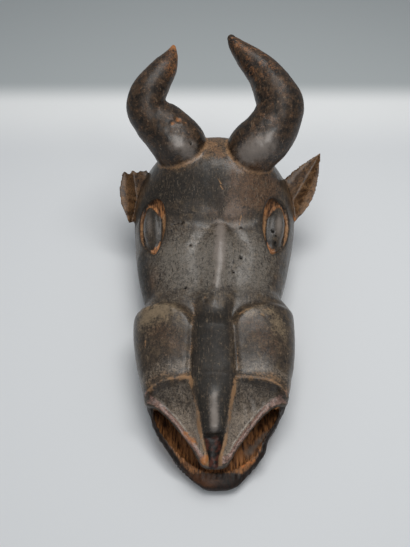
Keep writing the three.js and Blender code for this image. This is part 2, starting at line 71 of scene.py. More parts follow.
# Stations along the head: y, half width left and right, top, widest height, squareness
HEAD = np.array([
    (88, 86, 86, 84, 48, 4.0), (108, 92, 92, 85, 48, 4.0), (122, 96, 95, 86, 48, 3.6),
    (140, 101, 100, 91, 48, 3.2), (175, 108, 105, 104, 49, 2.9), (203, 110, 106, 111, 50, 2.8),
    (214, 107, 106, 112, 50, 2.7), (223, 102, 103, 111, 50, 2.6), (232, 97, 97, 109, 50, 2.5),
    (243, 98, 91, 109, 50, 2.4), (258, 102, 95, 112, 50, 2.4), (285, 109, 103, 118, 50, 2.4),
    (328, 117, 114, 125, 50, 2.35), (346, 119, 118, 136, 50, 2.25), (372, 122, 123, 156, 50, 2.15),
    (400, 124, 126, 173, 50, 2.1), (428, 122, 124, 179, 50, 2.05), (452, 117, 118, 178, 50, 2.0),
    (474, 110, 110, 165, 50, 2.0), (490, 103, 103, 142, 48, 2.0), (502, 98, 98, 95, 45, 2.0),
], float)
LEFT, RIGHT, TOP, WAIST, POWER = 1, 2, 3, 4, 5
# The face between and behind the pads: y, height
FACE = np.array([(108, 85), (150, 92), (200, 99), (240, 105), (285, 117), (328, 125)], float)
LEVEL = 1
# The nose: y, middle, half width, height over the face
NOSE = np.array([
    (19, -4, 7.5, 8), (40, -4, 13, 8), (75, -4, 19.8, 8), (108, -4, 26.5, 8), (150, -4, 25, 6),
    (180, -4, 23.5, 7), (203, -2, 22, 9), (228, 1, 24, 7.5), (255, 4.5, 29, 8), (285, 7, 30, 8),
    (308, 8, 21, 7), (325, 8, 12, 5), (340, 8, 8, 0),
], float)
MIDDLE, HALF, RISE = 1, 2, 3
# The lower jaw's outline against an even curve: y, left, right
JAW = np.array([
    (0, 0, 1), (3, -3.5, 0.5), (11, -6.2, -3.6), (24, -3.8, -2.4), (38, -3.1, -2),
    (50, -1.2, -5.6), (60, 0.2, -5), (73, 1.2, -1.6), (90, -1.5, -1.6),
], float)
# Horns: points along the middle, and the radius at each
HORNS = [
    ([(-45, 445, 132), (-47, 445, 158), (-53, 446, 174), (-70, 455, 191), (-88, 463, 205),
      (-98, 469, 219), (-95, 478, 235), (-83, 495, 248), (-69, 513, 260), (-62, 525, 269),
      (-59, 537, 276)], [36, 39, 40, 37, 32.5, 29, 26, 22, 17, 10, 3.5]),
    ([(48, 440, 132), (52, 437, 158), (58, 436, 174), (75, 441, 191), (87, 454, 206),
      (93, 468, 222), (84, 484, 239), (70, 506, 252), (47, 521, 268), (28, 536, 281),
      (22, 543, 287)], [36, 38, 39, 38, 36, 34.5, 29.5, 24, 17.5, 9.5, 5]),
]
# The point where a horn's lobe ends, and how many points before it the shaft starts
HORN_BEND, HORN_OVERLAP = 5, 2
# Ears: side, root, tip, half width, broken
EARS = [(1, (118, 412, 92), (162, 461, 146), 28.0, False),
        (-1, (115, 412, 92), (126, 460, 150), 29.0, True)]
# The way an ear faces, and how far along it the broken one ends
EAR_FACE, EAR_BREAK = (-0.119, -0.686, 0.718), 44.0
# Eyes: x, y
EYES = [(-91.0, 336.0), (89.0, 336.0)]
EYE_LENGTH, EYE_WIDTH, EYE_DEPTH, EYE_LEAN = 88.0, 68.0, 6.5, 6.5
# An eyeball's half sizes across, along and out, and its place in the recess
BALL, BALL_PLACE = (15.6, 38.0, 9.5), (2.3, 5.5)

LAMP_COLOUR, ROOM_COLOUR = (1.0, 0.985, 0.96), (0.93, 0.965, 1.0, 1.0)
CAMERA_AT, CAMERA_TILT, LENS = (-0.02289, -0.50495, 0.68525), 40.0, 37.053
FLOOR_HALF = 4.0


def mix(a, b, t):
    return a + (b - a) * t


def ease(t):
    c = np.clip(t, 0, 1)
    return c * c * (3 - 2 * c)


def bell(x, width):
    return np.exp(-((x / width) ** 2))


def arch(u, power):
    return np.clip(1 - np.abs(u) ** power, 0, 1) ** (1 / power)


def read(table, column, y):
    """A smooth reading of one column of a station table, level beyond its ends."""
    at, value = table[:, 0], table[:, column]
    slope = np.zeros(len(at))
    slope[1:-1] = (value[2:] - value[:-2]) / (at[2:] - at[:-2])
    y = np.clip(y, at[0], at[-1])
    i = np.clip(np.searchsorted(at, y, "right") - 1, 0, len(at) - 2)
    span = at[i + 1] - at[i]
    t = (y - at[i]) / span
    return (value[i] + (value[i + 1] - value[i]) * t * t * (3 - 2 * t)
            + span * (slope[i] * t * (1 - t) ** 2 - slope[i + 1] * t * t * (1 - t)))


def waist_height(y):
    return read(HEAD, WAIST, y)


def half_width(u, y):
    return np.where(u < 0, read(HEAD, LEFT, y), read(HEAD, RIGHT, y))


def lip_y(u):
    off = np.abs(u - LIP_TIP_U)
    return LIP_TIP_Y + LIP_RUN * ease(off ** 0.9 - 0.1 * bell(off - 0.14, 0.1))


def crest_y(u):
    return CREST_Y + 2 - 16 * u ** 4


def jaw_curve(y):
    return 14.2 * np.maximum(y, 0) ** 0.402


def jaw_half(side, y):
    return jaw_curve(y) + np.where(side < 0, read(JAW, LEFT, y), read(JAW, RIGHT, y))


def rim_height(y):
    return 24 + 24 * (np.clip(y, 0, 90) / 90) ** 1.2


def roof_height(y):
    return 38 + 9 * ease((y - LIP_TIP_Y) / 50)


def front_height(x, y, u):
    off = np.abs(x - NOSE_SHIFT)
    half = read(NOSE, HALF, y)
    edge = 50 + 34.5 * (np.maximum(0, y - 10) / 98) ** 0.8
    dome = np.sqrt(np.clip(1 - (off / half) ** 2, 0, 1))
    nose = edge + mix(-7, 8, ease((y - NOSE_TIP_Y + 4) / 8)) * dome
    lip = 50 + 8 * np.abs(u) ** 0.7
    t = np.clip((crest_y(u) - y) / (crest_y(u) - lip_y(u)), 0, 1)
    sink = 1.06 * (1 - (1 - t) ** 2.6) - 0.06 * t ** 8
    scoop = mix(85, lip, sink)
    beyond = np.maximum(0, off - half)
    return np.where(off < half, nose, scoop + (edge - scoop) * np.exp(-((beyond / 6) ** 1.2)))


def step_drop(off):
    return np.exp(-np.maximum(0, off - 24) / STEP_BEND)


def step_y(off):
    return STEP_Y + STEP_SWEEP * (1 - step_drop(off))


def low_height(y):
    """Height of the face between and behind the pads, and of the head behind it."""
    return np.where(y < FACE_END, read(FACE, LEVEL, y), read(HEAD, TOP, y))


def back_height(x, y):
    off, half = np.abs(x - read(NOSE, MIDDLE, y)), read(NOSE, HALF, y)
    slant = np.hypot(1, (STEP_SWEEP / STEP_BEND) * step_drop(off))
    pad = ease((step_y(off) - y) / (13 * slant) + 0.5)
    height = mix(low_height(y), read(HEAD, TOP, y), np.maximum(pad, ease((y - 270) / 40)))
    dome = np.clip(1 - (off / half) ** 2, 0, 1)
    tent = np.clip(1 - off / half, 0, 1) ** 1.5
    height += read(NOSE, RISE, y) * mix(np.sqrt(dome), tent, ease((y - 190) / 45))
    beside = ease((y - CREST_Y) / 15) * ease((205 - y) / 20)
    height -= 2.5 * beside * bell(off - half - 2, 4)
    height -= 2.5 * bell(y - 306, 24) * bell(off - half - 5, 9)
    height -= 2.5 * bell(y - 332 - 0.004 * x * x, 12)
    return height


def skin(u, y):
    x = u * half_width(u, y)
    waist = waist_height(y)
    joined = ease((y - crest_y(u) + 3) / 6)
    height = mix(front_height(x, y, u), back_height(x, y), joined)
    return np.stack([x, y, waist + (height - waist) * arch(u, read(HEAD, POWER, y))], -1)


def rounded_row(u, y, back):
    bend = BACK_BEND * ease((y - 380) / (back - 380))
    return y - bend * (1 - np.sqrt(np.clip(1 - np.abs(u) ** 2.3, 0, 1)))


def skin_row(k, u):
    """Row k from 0 at the lip, by 1 at the nostril crest, to 2 at the back of the head."""
    if k < 1:
        return mix(lip_y(u), crest_y(u), k)
    y = mix(CREST_Y, HELMET_BACK, k - 1)
    return rounded_row(u, y, HELMET_BACK) - (CREST_Y - crest_y(u)) * ease((150 - y) / 42)


def skin_columns(q, k):
    """Places across the head, in row k, that follow the nose's sides."""
    share = 0.28
    side = np.where(q < 0, -1.0, 1.0)
    u = q.copy()
    beyond = np.clip((np.abs(q) - share) / (1 - share), 0, 1)
    for _ in range(6):
        y = skin_row(k, u)
        width = half_width(side, y)
        middle, half = read(NOSE, MIDDLE, y), read(NOSE, HALF, y)
        outer = mix(middle + side * half, side * width, np.sin(math.pi / 2 * beyond))
        x = np.where(np.abs(q) <= share, middle + half * q / share, outer)
        u = np.clip(x / width, -1, 1)
    return u


def even_columns(q, _):
    return np.sign(q) * np.sin(math.pi / 2 * np.abs(q) ** 1.2) ** 0.8


def linked(name, data):
    """A new object in the scene."""
    made = bpy.data.objects.new(name, data)
    bpy.context.scene.collection.objects.link(made)
    return made


def body(name, points, faces):
    """A closed mesh object from corners and faces, turned so that its faces look out."""
    points = np.asarray(points, float).reshape(-1, 3)
    corners = [points[[f[0], f[i], f[i + 1]]] for f in faces for i in range(1, len(f) - 1)]
    a, b, c = np.swapaxes(np.array(corners), 0, 1)
    if np.einsum("ij,ij->i", a, np.cross(b, c)).sum() < 0:
        faces = [f[::-1] for f in faces]
    mesh = bpy.data.meshes.new(name)
    mesh.from_pydata(points.tolist(), [], [tuple(int(i) for i in f) for f in faces])
    mesh.validate()
    return linked(name, mesh)


def bands(rings, size, closed=True):
    """The faces between each ring of corners and the next."""
    ahead = [*range(1, size)] + [0] * closed
    return [(r + a, r + b, r + b + size, r + a + size)
            for r in range(0, (rings - 1) * size, size) for a, b in zip(range(size), ahead)]


def under_arch(name, rows, along, across, point, waist, upper, sides, bottom, tuck):
    """A body under an arched surface, with sides drawn in by the tuck, down to a flat bottom."""
    columns = upper + 2 * sides
    c = np.arange(columns + 1)
    down = np.maximum(0, np.abs(c - columns / 2) - upper / 2) / sides
    q = np.clip((c - columns / 2) / (upper / 2), -1, 1)
    points = []
    for row in rows:
        u = across(q, row)
        p = point(u, along(row, u))
        p[:, 0] *= 1 - tuck * down ** 2
        p[:, 2] = np.where(down > 0, mix(waist(p[:, 1]), bottom, down), p[:, 2])
        points.extend(p)
    size, count = columns + 1, len(rows)
    faces, feet = bands(count, size, closed=False), []
    for start, turned in ((0, True), ((count - 1) * size, False)):
        below = [start] * (sides + 1)
        for k in range(sides + 1, columns - sides):
            below.append(len(points))
            x, y, _ = points[start + k]
            points.append(np.array([x * (1 - tuck), y, bottom]))
        below += [start + columns] * (sides + 1)
        for k in range(columns):
            for f in ((start + k, below[k], below[k + 1]), (start + k, below[k + 1], start + k + 1)):
                if len(set(f)) == 3:
                    faces.append(f if turned else f[::-1])
        feet.append(below[sides + 1:columns - sides])
    half = len(feet[0]) // 2
    first, last = [feet[0][half]], [feet[1][half]]
    left = first + feet[0][:half][::-1] + [r * size for r in range(count)] + feet[1][:half] + last
    right = (first + feet[0][-half:] + [r * size + columns for r in range(count)]
             + feet[1][-half:][::-1] + last)
    for i in range(len(left) - 1):
        ring = [left[i], left[i + 1], right[i + 1], right[i]]
        faces.append(tuple(v for n, v in enumerate(ring) if v not in ring[:n]))
    return body(name, points, faces)


def tube(name, points, size):
    """A body through rings of corners, closed with flat ends."""
    count = len(points)
    faces = bands(count // size, size)
    faces += [tuple(range(size))[::-1], tuple(range(count - size, count))]
    return body(name, points, faces)


def outer_head():
    rows = [i / 70 for i in range(70)] + [1 + i / 230 for i in range(231)]
    return under_arch("head", rows, skin_row, skin_columns, skin, waist_height,
                      upper=240, sides=16, bottom=0, tuck=HEAD_TUCK)


def helmet_hollow():
    back = HELMET_BACK - WALL
    rows = mix(150, back, np.arange(61) / 60)

    def point(u, y):
        waist = waist_height(y)
        height = np.minimum(low_height(y), mix(read(HEAD, TOP, y + 18), 240, ease((470 - y) / 60)))
        rise = (height - ROOF - waist) * arch(u, read(HEAD, POWER, y))
        return np.stack([u * (half_width(u, y) - WALL), y, waist + rise], -1)

    return under_arch("hollow", rows, lambda y, u: rounded_row(u, y, back), even_columns, point,
                      waist_height, upper=80, sides=6, bottom=-5, tuck=0.05)


def mouth_hollow():
    inside, side_inside, ends = 17.0, 12.0, 178.0
    rows = mix(inside + 0.4, ends, (np.arange(61) / 60) ** 1.7)

    def waist(y):
        return mix(np.maximum(20, rim_height(y) - 4), 20, ease((y - 84) / 30))

    def point(u, y):
        reach = mix(inside, side_inside, ease((y - 20) / 45))
        in_jaw = jaw_half(u, y) - jaw_curve(y) + jaw_curve(y - reach)
        half = mix(in_jaw, read(HEAD, RIGHT, y) - WALL, ease((y - 96) / 30))
        roof = mix(roof_height(y), 72, ease((y - 92) / 50))
        return np.stack([u * half, y, mix(waist(y), roof, arch(u, 6))], -1)

    return under_arch("mouth", rows, lambda y, u: np.full_like(u, y), even_columns, point,
                      waist, upper=60, sides=14, bottom=JAW_FLOOR, tuck=0.3)


def lip_gap():
    points = []
    for y in mix(-10, MOUTH_CORNER_Y, np.arange(25) / 24):
        high = roof_height(y)
        points += [(-130, y, high), (130, y, high), (130, y, -5), (-130, y, -5)]
    return tube("gap", points, 4)


def lower_jaw():
    ends, count = 104.0, 70
    line = 0.3 + (ends - 0.3) * (np.arange(count + 1) / count) ** 2
    front, rim = ease(line / 40), rim_height(line)
    # The section, from below: how far in at the front and at the sides, and how high
    rings = [
        (5, 11, 0.3, 0 * line), (0, 7, 0.3, 0 * line + 4), (0, 3.5, 1, 0 * line + 13),
        (6, 0.5, 1, mix(18, rim - 5, front)), (18, 4, 1, rim),
    ]
    points = []
    for at_front, at_sides, power, level in rings:
        for side in (-1, 1):
            slope = (jaw_half(side, line + 0.1) - jaw_half(side, line)) / 0.1
            length = np.hypot(1, slope)
            inset = mix(at_front, at_sides, front ** power)
            inset = mix(inset, 3, 0.7 * ease((line - 55) / 30))
            x = jaw_half(side, line) - 2.5 * ease((line - 80) / 20) - inset / length
            p = np.stack([side * x, line + inset * slope / length, level], -1)
            points.extend(p[::-1] if side < 0 else p)
    size = 2 * (count + 1)
    faces = bands(len(rings), size)
    for start, up in ((0, False), ((len(rings) - 1) * size, True)):
        for i in range(count):
            f = (start + i, start + i + 1, start + size - 2 - i, start + size - 1 - i)
            faces.append(f if up else f[::-1])
    return body("jaw", points, faces)


def unit(v):
    return v / np.linalg.norm(v)


def cubic(b, c, one, two, w):
    """From b to c, with the slopes one and two at its ends."""
    return (b + one * w + (-3 * b + 3 * c - 2 * one - two) * w * w
            + (2 * b - 2 * c + one + two) * w ** 3)


def spline(values, t):
    """A centripetal curve through points, read at t from 0 to 1."""
    p = np.array(values, float)
    at = t * (len(p) - 1)
    i = min(int(at), len(p) - 2)
    w = at - i
    a = p[i - 1] if i > 0 else 2 * p[0] - p[1]
    b, c = p[i], p[i + 1]
    d = p[i + 2] if i + 2 < len(p) else 2 * p[-1] - p[-2]
    steps = [max(np.linalg.norm(q - r), 1e-4) ** 0.5 for q, r in ((b, a), (c, b), (d, c))]
    one = ((b - a) / steps[0] - (c - a) / (steps[0] + steps[1]) + (c - b) / steps[1]) * steps[1]
    two = ((c - b) / steps[1] - (d - b) / (steps[1] + steps[2]) + (d - c) / steps[2]) * steps[1]
    return cubic(b, c, one, two, w)


def smooth_radius(radii, t):
    at = t * (len(radii) - 1)
    i = min(int(at), len(radii) - 2)
    w = at - i
    a, b, c, d = (radii[min(max(n, 0), len(radii) - 1)] for n in (i - 1, i, i + 1, i + 2))
    return cubic(b, c, (c - a) / 2, (d - b) / 2, w)


def taper(name, places, radii, rings, sides):
    """A round body along a curve, with a rounded end."""
    centres = [spline(places, r / rings) for r in range(rings + 1)]
    angle = 2 * math.pi * np.arange(sides)[:, None] / sides
    points, across = [], np.array([1.0, 0, 0])
    for r, centre in enumerate(centres):
        ahead = unit(centres[min(r + 1, rings)] - centres[max(r - 1, 0)])
        across = unit(across - ahead * (across @ ahead))
        radius = smooth_radius(radii, r / rings)
        rim = radius * (across * np.cos(angle) + np.cross(ahead, across) * np.sin(angle))
        points.extend(centre + rim)
    for share, size in ((0.5, 0.85), (0.85, 0.5)):
        points.extend(centre + rim * size + ahead * radii[-1] * 0.6 * share)
    return tube(name, points, sides)


def horn(name, path, radii):
    """A horn's thick lobe, and the shaft that starts inside it."""
    start = HORN_BEND - HORN_OVERLAP
    lobe_radii, shaft_radii = list(radii[:HORN_BEND + 1]), list(radii[start:])
    lobe_radii[HORN_BEND] -= 4
    shaft_radii[0] -= 0.8
    shaft_radii[1] -= 0.8
    lobe = taper(name + "_lobe", path[:HORN_BEND + 1], lobe_radii, rings=60, sides=72)
    return [lobe, taper(name + "_shaft", path[start:], shaft_radii, rings=110, sides=72)]


def ear_frame(root, tip):
    """An ear's root, the ways along it, across it and out of its face, and its length."""
    root, along = np.array(root, float), np.array(tip, float) - np.array(root, float)
    length = float(np.linalg.norm(along))
    along /= length
    face = np.array(EAR_FACE)
    face = unit(face - along * (face @ along))
    return root, along, np.cross(along, face), face, length


def ear(name, side, root, tip, widest, broken):
    root, along, across, face, length = ear_frame(root, tip)
    profile = [(-1, 0), (-0.55, -0.1), (0.1, -0.75), (0.6, 0.05), (1, 0.2),
               (0.65, -0.85), (0.1, -1.35), (-0.5, -1)]

    def spot(a, s, n):
        p = root + along * a + across * s + face * n
        return (side * p[0], p[1], p[2])

    points = []
    for a in mix(-31, length, np.arange(61) / 60):
        tail = float(np.clip(a / -31, 0, 1))
        end = max(0.0, a - 14) / (length - 14)
        half = max(1.2, widest * (1 - end ** 1.6) * (1 - 0.88 * tail))
        thick = mix(13, 5, float(np.clip(a / length, 0, 1)))
        points += [spot(a, 18 * tail + s * half, n * thick) for s, n in profile]
    leaf = tube(name, points, len(profile))
    if broken:
        edge = []
        for s in mix(-45, 40, np.arange(29) / 28):
            a = EAR_BREAK + 0.05 * s + 2.2 * math.sin(0.55 * s) + 1.3 * math.sin(1.7 * s + 1)
            edge += [spot(a, s, -40), spot(a + 2, s, 40), spot(a + 90, s, 40), spot(a + 90, s, -40)]
        boolean(leaf, tube(name + "_break", edge, 4), "DIFFERENCE")
    return leaf


def eye_frame(x, y):
    """Place of an eye on the skin, and the ways across it, along it and out of the wood."""
    u = x / float(half_width(np.float64(x), np.float64(y)))

    def at(du, dy):
        return skin(np.array([u + du]), np.array([y + dy]))[0]

    here, ahead, over = at(0, 0), at(0, 25) - at(0, -25), at(0.1, 0) - at(-0.1, 0)
    out = unit(np.cross(over, ahead))
    along = unit(ahead - out * (ahead @ out))
    return here, np.cross(along, out), along, out


def almond(t, inward):
    """Middle and half width of an eye's recess, at t from its point to its blunt end."""
    return (inward * (EYE_LEAN * (2 * t - 1) ** 2 - 1),
            EYE_WIDTH / 2 * 1.56 * t ** 0.75 * (1 - t) ** 0.36)


def eye_outline(inward, count=40):
    t = 0.5 - 0.5 * np.cos(math.pi * np.arange(count + 1) / count)
    middle, half = almond(t, inward)
    along = (t - 0.48) * EYE_LENGTH
    left, right = (np.stack([middle + way * half, along], -1) for way in (-1, 1))
    return np.concatenate([right, left[count - 1:0:-1]])


def eye_recess(name, frame_of, inward):
    here, across, along, out = frame_of
    flat = eye_outline(inward) @ np.stack([across, along])
    points = [here + flat * size + out * depth for depth, size in
              ((-EYE_DEPTH, 0.9), (-EYE_DEPTH + 2, 0.95), (0, 1.0), (30, 1.06))]
    return tube(name, np.concatenate(points), len(flat))


def eye_ball(name, frame_of, inward):
    here, across, along, out = frame_of
    sides, rings, points = 48, 24, []
    turn = 2 * math.pi * np.arange(sides)[:, None] / sides
    middle = here - across * inward * BALL_PLACE[0] + along * BALL_PLACE[1] - out * EYE_DEPTH
    for angle in math.pi * np.arange(1, rings) / rings:
        ring = across * BALL[0] * np.cos(turn) + along * BALL[1] * np.sin(turn)
        points.extend(middle + math.sin(angle) * ring + out * BALL[2] * math.cos(angle))
    return tube(name, points, sides)


def modify(target, kind, **settings):
    """Applies one modifier to the object's mesh."""
    modifier = target.modifiers.new(kind, kind)
    for key, value in settings.items():
        setattr(modifier, key, value)
    graph = bpy.context.evaluated_depsgraph_get()
    made = bpy.data.meshes.new_from_object(target.evaluated_get(graph))
    target.modifiers.clear()
    old, target.data = target.data, made
    bpy.data.meshes.remove(old)


def boolean(target, other, operation):
    modify(target, "BOOLEAN", operation=operation, object=other, solver="MANIFOLD")
    bpy.data.objects.remove(other)


def carve():
    """The solid's forms, joined to one another and cut out of one another."""
    mask = outer_head()
    boolean(mask, lip_gap(), "DIFFERENCE")
    for n, (x, y) in enumerate(EYES):
        spot, inward = eye_frame(x, y), -math.copysign(1, x)
        boolean(mask, eye_recess(f"recess{n}", spot, inward), "DIFFERENCE")
        boolean(mask, eye_ball(f"ball{n}", spot, inward), "UNION")
    for n, (path, radii) in enumerate(HORNS):
        for one in horn(f"horn{n}", path, radii):
            boolean(mask, one, "UNION")
    for n, one in enumerate(EARS):
        boolean(mask, ear(f"ear{n}", *one), "UNION")
    boolean(mask, lower_jaw(), "UNION")
    boolean(mask, helmet_hollow(), "DIFFERENCE")
    boolean(mask, mouth_hollow(), "DIFFERENCE")
    return mask


def fetch(items, name, width=3, kind=float):
    """One attribute of a mesh's corners or edges, a row for each."""
    values = np.empty(len(items) * width, kind)
    items.foreach_get(name, values)
    return values.reshape(-1, width)


def move(target, co):
    target.data.vertices.foreach_set("co", np.ascontiguousarray(co, np.float32).ravel())
    target.data.update()


def around(values, edges):
    """The mean of each corner's neighbours."""
    (a, b), count = edges.T, len(values)
    each = np.bincount(a, minlength=count) + np.bincount(b, minlength=count)
    total = [np.bincount(a, weights=v[b], minlength=count)
             + np.bincount(b, weights=v[a], minlength=count) for v in values.T]
    return np.stack(total, -1) / np.maximum(each, 1)[:, None]


def relax(p, edges, weight, times):
    """Moves corners towards their neighbours' means, or away from them if weight is negative."""
    for _ in range(times):
        p = p + (around(p, edges) - p) * weight
    return p


def chance(x, y, z, seed):
    h = (x * 374761393 + y * 668265263 + z * 1103515245 + seed * 972663749) & 0xFFFFFFFF
    h = ((h ^ (h >> 13)) * 1274126177) & 0xFFFFFFFF
    return ((h ^ (h >> 16)) & 0xFFFFFF) / 0x7FFFFF - 1


def grain(p, size, seed=0):
    """Smooth noise from -1 to 1; size is a length, or one for each axis."""
    q = p / np.asarray(size, float) + seed * 17.31
    i = np.floor(q).astype(np.int64)
    f = q - i
    f = f * f * (3 - 2 * f)
    out = 0
    for corner in np.ndindex(2, 2, 2):
        x, y, z = np.where(corner, f, 1 - f).T
        out = out + x * y * z * chance(*(i + corner).T, seed)
    return out


def layers(p, size, seed=0):
    """Noise in three sizes, from coarse to fine."""
    size = np.asarray(size, float)
    return (grain(p, size, seed) + 0.5 * grain(p, size / 2.1, seed + 1)
            + 0.25 * grain(p, size / 4.3, seed + 2)) / 1.4


def line_distance(p, a, b):
    a, b = np.array(a, float), np.array(b, float)
    t = np.clip(((p - a) @ (b - a)) / max((b - a) @ (b - a), 1e-9), 0, 1)
    return np.linalg.norm(p - a - t[:, None] * (b - a), axis=1)


def horn_distance(p, path, radii, points=40):
    """Distance from a horn's surface and the place along it, from 0 to 1."""
    best, where = np.full(len(p), 1e9), np.zeros(len(p))
    for i in range(points + 1):
        t = i / points
        d = np.linalg.norm(p - spline(path, t), axis=1) - smooth_radius(radii, t)
        nearer = d < best
        best[nearer], where[nearer] = d[nearer], t
    return best, where


def surface_facts(p):
    """Where each corner lies: how far across the head, under which skin, and on which form."""
    x, y, z = p.T
    width, waist = half_width(x, y), waist_height(y)
    u = np.clip(x / width, -1, 1)
    top = skin(u, y)[:, 2]
    wall = width * (1 - HEAD_TUCK * np.clip(1 - z / waist, 0, 1) ** 2)
    share = np.clip(np.abs(x) / wall, 0, 1)
    back = HELMET_BACK - BACK_BEND * (1 - np.sqrt(1 - share ** 2.3))
    hollow = (z < top - 7) & (np.abs(x) < wall - 8) & (y > 150) & (y < back - 8)
    cheek = np.minimum(jaw_half(x, y) - 2.5, width - 3 - 4 * ease((y - 88) / 8))
    mouth = (y > 10) & (y < 180) & (z > JAW_FLOOR - 1.5) & (z < top - 5) & (np.abs(x) < cheek)
    mouth &= z < np.maximum(roof_height(y), 40 + (y - 92) * 0.6) + 1
    on_skin = bell(top - z, 5) * (y > SKIN_FRONT) * (y < SKIN_BACK)
    return {"u": u, "top": top, "crest": crest_y(u), "skin": on_skin,
            "mouth": mouth.astype(float), "hollow": hollow.astype(float)}


def decimate(target, share, weights):
    """Thins the triangles out to a share, most of all where the weights are high."""
    group = target.vertex_groups.new(name="fewer")
    for level in range(1, 11):
        chosen = np.flatnonzero(np.round(weights * 10) == level)
        group.add(chosen.tolist(), level / 10, "REPLACE")
    modify(target, "DECIMATE", ratio=share, vertex_group="fewer")
    target.vertex_groups.clear()


# How much a distance across, along and up counts round a pit: pits are longer upwards
PIT_SHAPE = (1.0, 1.0, 0.35)
# Small damage: place, radius and depth of each pit
PITS = [
    ((-46, 335, 123), 1.7, 3.5), ((-34, 296, 117), 1.3, 3.0), ((35, 277, 113), 1.9, 3.5),
    ((24, 255, 109), 1.6, 3.5), ((37, 326, 121), 1.2, 2.5), ((-40, 234, 101), 1.8, 2.5),
    ((-34, 419, 194), 1.7, 3.0), ((-110, 457, 245), 1.4, 2.5), ((86, 315, 100), 3.0, 2.4),
    ((83, 331, 109), 2.0, 2.4), ((-52, 441, 219), 4.5, 1.4), ((-59, 433, 218), 3.0, 1.0),
    ((-42, 440, 214), 3.0, 0.9), ((63, 411, 210), 5.0, 0.6), ((40, 404, 178), 1.4, 1.5),
    ((48, 401, 179), 1.2, 1.3), ((55, 399, 180), 1.4, 1.4), ((57, 491, 264), 1.8, 1.0),
    ((82, 490, 271), 3.0, 0.9), ((91, 486, 267), 2.6, 0.9), ((-31, 182, 95), 1.8, 1.0),
    ((-33, 50, 54), 6.0, 1.6), ((17, 32, 52), 4.0, 1.5), ((-96, 300, 60), 2.0, 1.5),
]
# Small round holes, too fine for the surface's corners, in the material: place and radius
WORM_HOLES = [
    ((-46, 335, 123), 2.4), ((-51, 335, 122), 1.5), ((-57, 334, 120), 1.6), ((-34, 296, 117), 2.0),
    ((35, 277, 113), 2.8), ((24, 255, 109), 2.4), ((-40, 234, 101), 2.2), ((-34, 419, 194), 2.0),
    ((-110, 457, 245), 1.8), ((83, 331, 108), 2.4), ((86, 317, 101), 2.6), ((87, 325, 105), 2.0),
    ((98, 352, 104), 2.0), ((37, 326, 121), 1.4), ((-44, 262, 109), 1.3), ((12, 285, 118), 1.2),
]
# Cracks, grooves and scratches: from, to, width, depth
CRACKS = [
    ((-60, 334, 120), (-46, 335, 123), 1.3, 1.6), ((-53, 234, 99), (-40, 234, 101), 1.3, 1.4),
    ((-15, 217, 103), (-13, 207, 105), 1.8, 1.8), ((4, 382, 163), (9, 376, 158), 1.0, 0.5),
    ((8, 374, 157), (11, 370, 154), 1.2, 0.7), ((22, 186, 96), (31, 191, 100), 1.0, 0.6),
    ((31, 190, 100), (48, 196, 104), 1.0, 0.6), ((50, 192, 104), (64, 187, 103), 1.0, 0.5),
    ((-89, 162, 85), (-90, 152, 83), 1.4, 0.8), ((40, 352, 132), (34, 330, 122), 1.0, 0.4),
]


def pit_distance(p, centre):
    return np.linalg.norm((p - np.array(centre, float)) * PIT_SHAPE, axis=1)


def damage(p):
    """How deep the pits and cracks go at each corner."""
    deep = np.zeros(len(p))
    for centre, radius, depth in PITS:
        deep = np.maximum(deep, depth * np.exp(-(pit_distance(p, centre) / radius) ** 3))
    wander = 0.5 * grain(p, 4.0, 5)
    for a, b, width, depth in CRACKS:
        away = np.maximum(line_distance(p, a, b) + wander, 0)
        deep = np.maximum(deep, depth * bell(away, width))
    return deep


def carved_marks(p, facts):
    """Height of the tool marks over the smooth form, outwards."""
    x, y, z = p.T
    on_skin, mouth, hollow = facts["skin"], facts["mouth"], facts["hollow"]
    across = x - NOSE_SHIFT
    off = np.abs(across) - read(NOSE, HALF, y)
    height = 0.45 * layers(p, 26, 1) + 0.16 * layers(p, 7, 4)
    facets = np.abs(grain(p, (13, 17, 13), 9))
    height += (1 - np.clip(mouth + hollow, 0, 1)) * 0.35 * (0.35 - facets)
    gouges = np.sin((x * 0.9 + 0.35 * y) * 0.55 + 2.2 * grain(p, 20, 3))
    height += 0.28 * on_skin * (y < facts["crest"]) * (off > 0) * gouges
    height += 0.22 * ease((z - facts["top"] - 2) / 5) * layers(p, (4, 4, 9), 27)
    wide = 6.0 + 1.6 * grain(p, 30, 12)
    hatch = np.sin(2 * math.pi * x / wide + 1.2 * grain(p, (9, 40, 40), 7))
    height += mouth * (0.55 * hatch + 0.35 * layers(p, (4, 16, 8), 8))
    height += hollow * (0.8 * layers(p, (16, 26, 16), 11) - 0.2)
    height += on_skin * (y < NOSE_TIP_Y) * (off < 0) * 1.1 * layers(p, 3.8, 21)
    height += on_skin * 2 * bell(y - 220, 14) * bell(np.abs(x - read(NOSE, MIDDLE, y)) - 15, 9)
    height += on_skin * 1.3 * bell(across - 1, 8) * ease((104 - y) / 24) * (y > NOSE_TIP_Y)
    above = y - lip_y(facts["u"])
    bead = (1.1 * bell(above - 5, 4) - 0.9 * bell(above - 13, 4)) * (y < 100)
    height += on_skin * ease(off / 3) * (bead + 0.8 * bell(y - facts["crest"], 2.5))
    return height - damage(p)


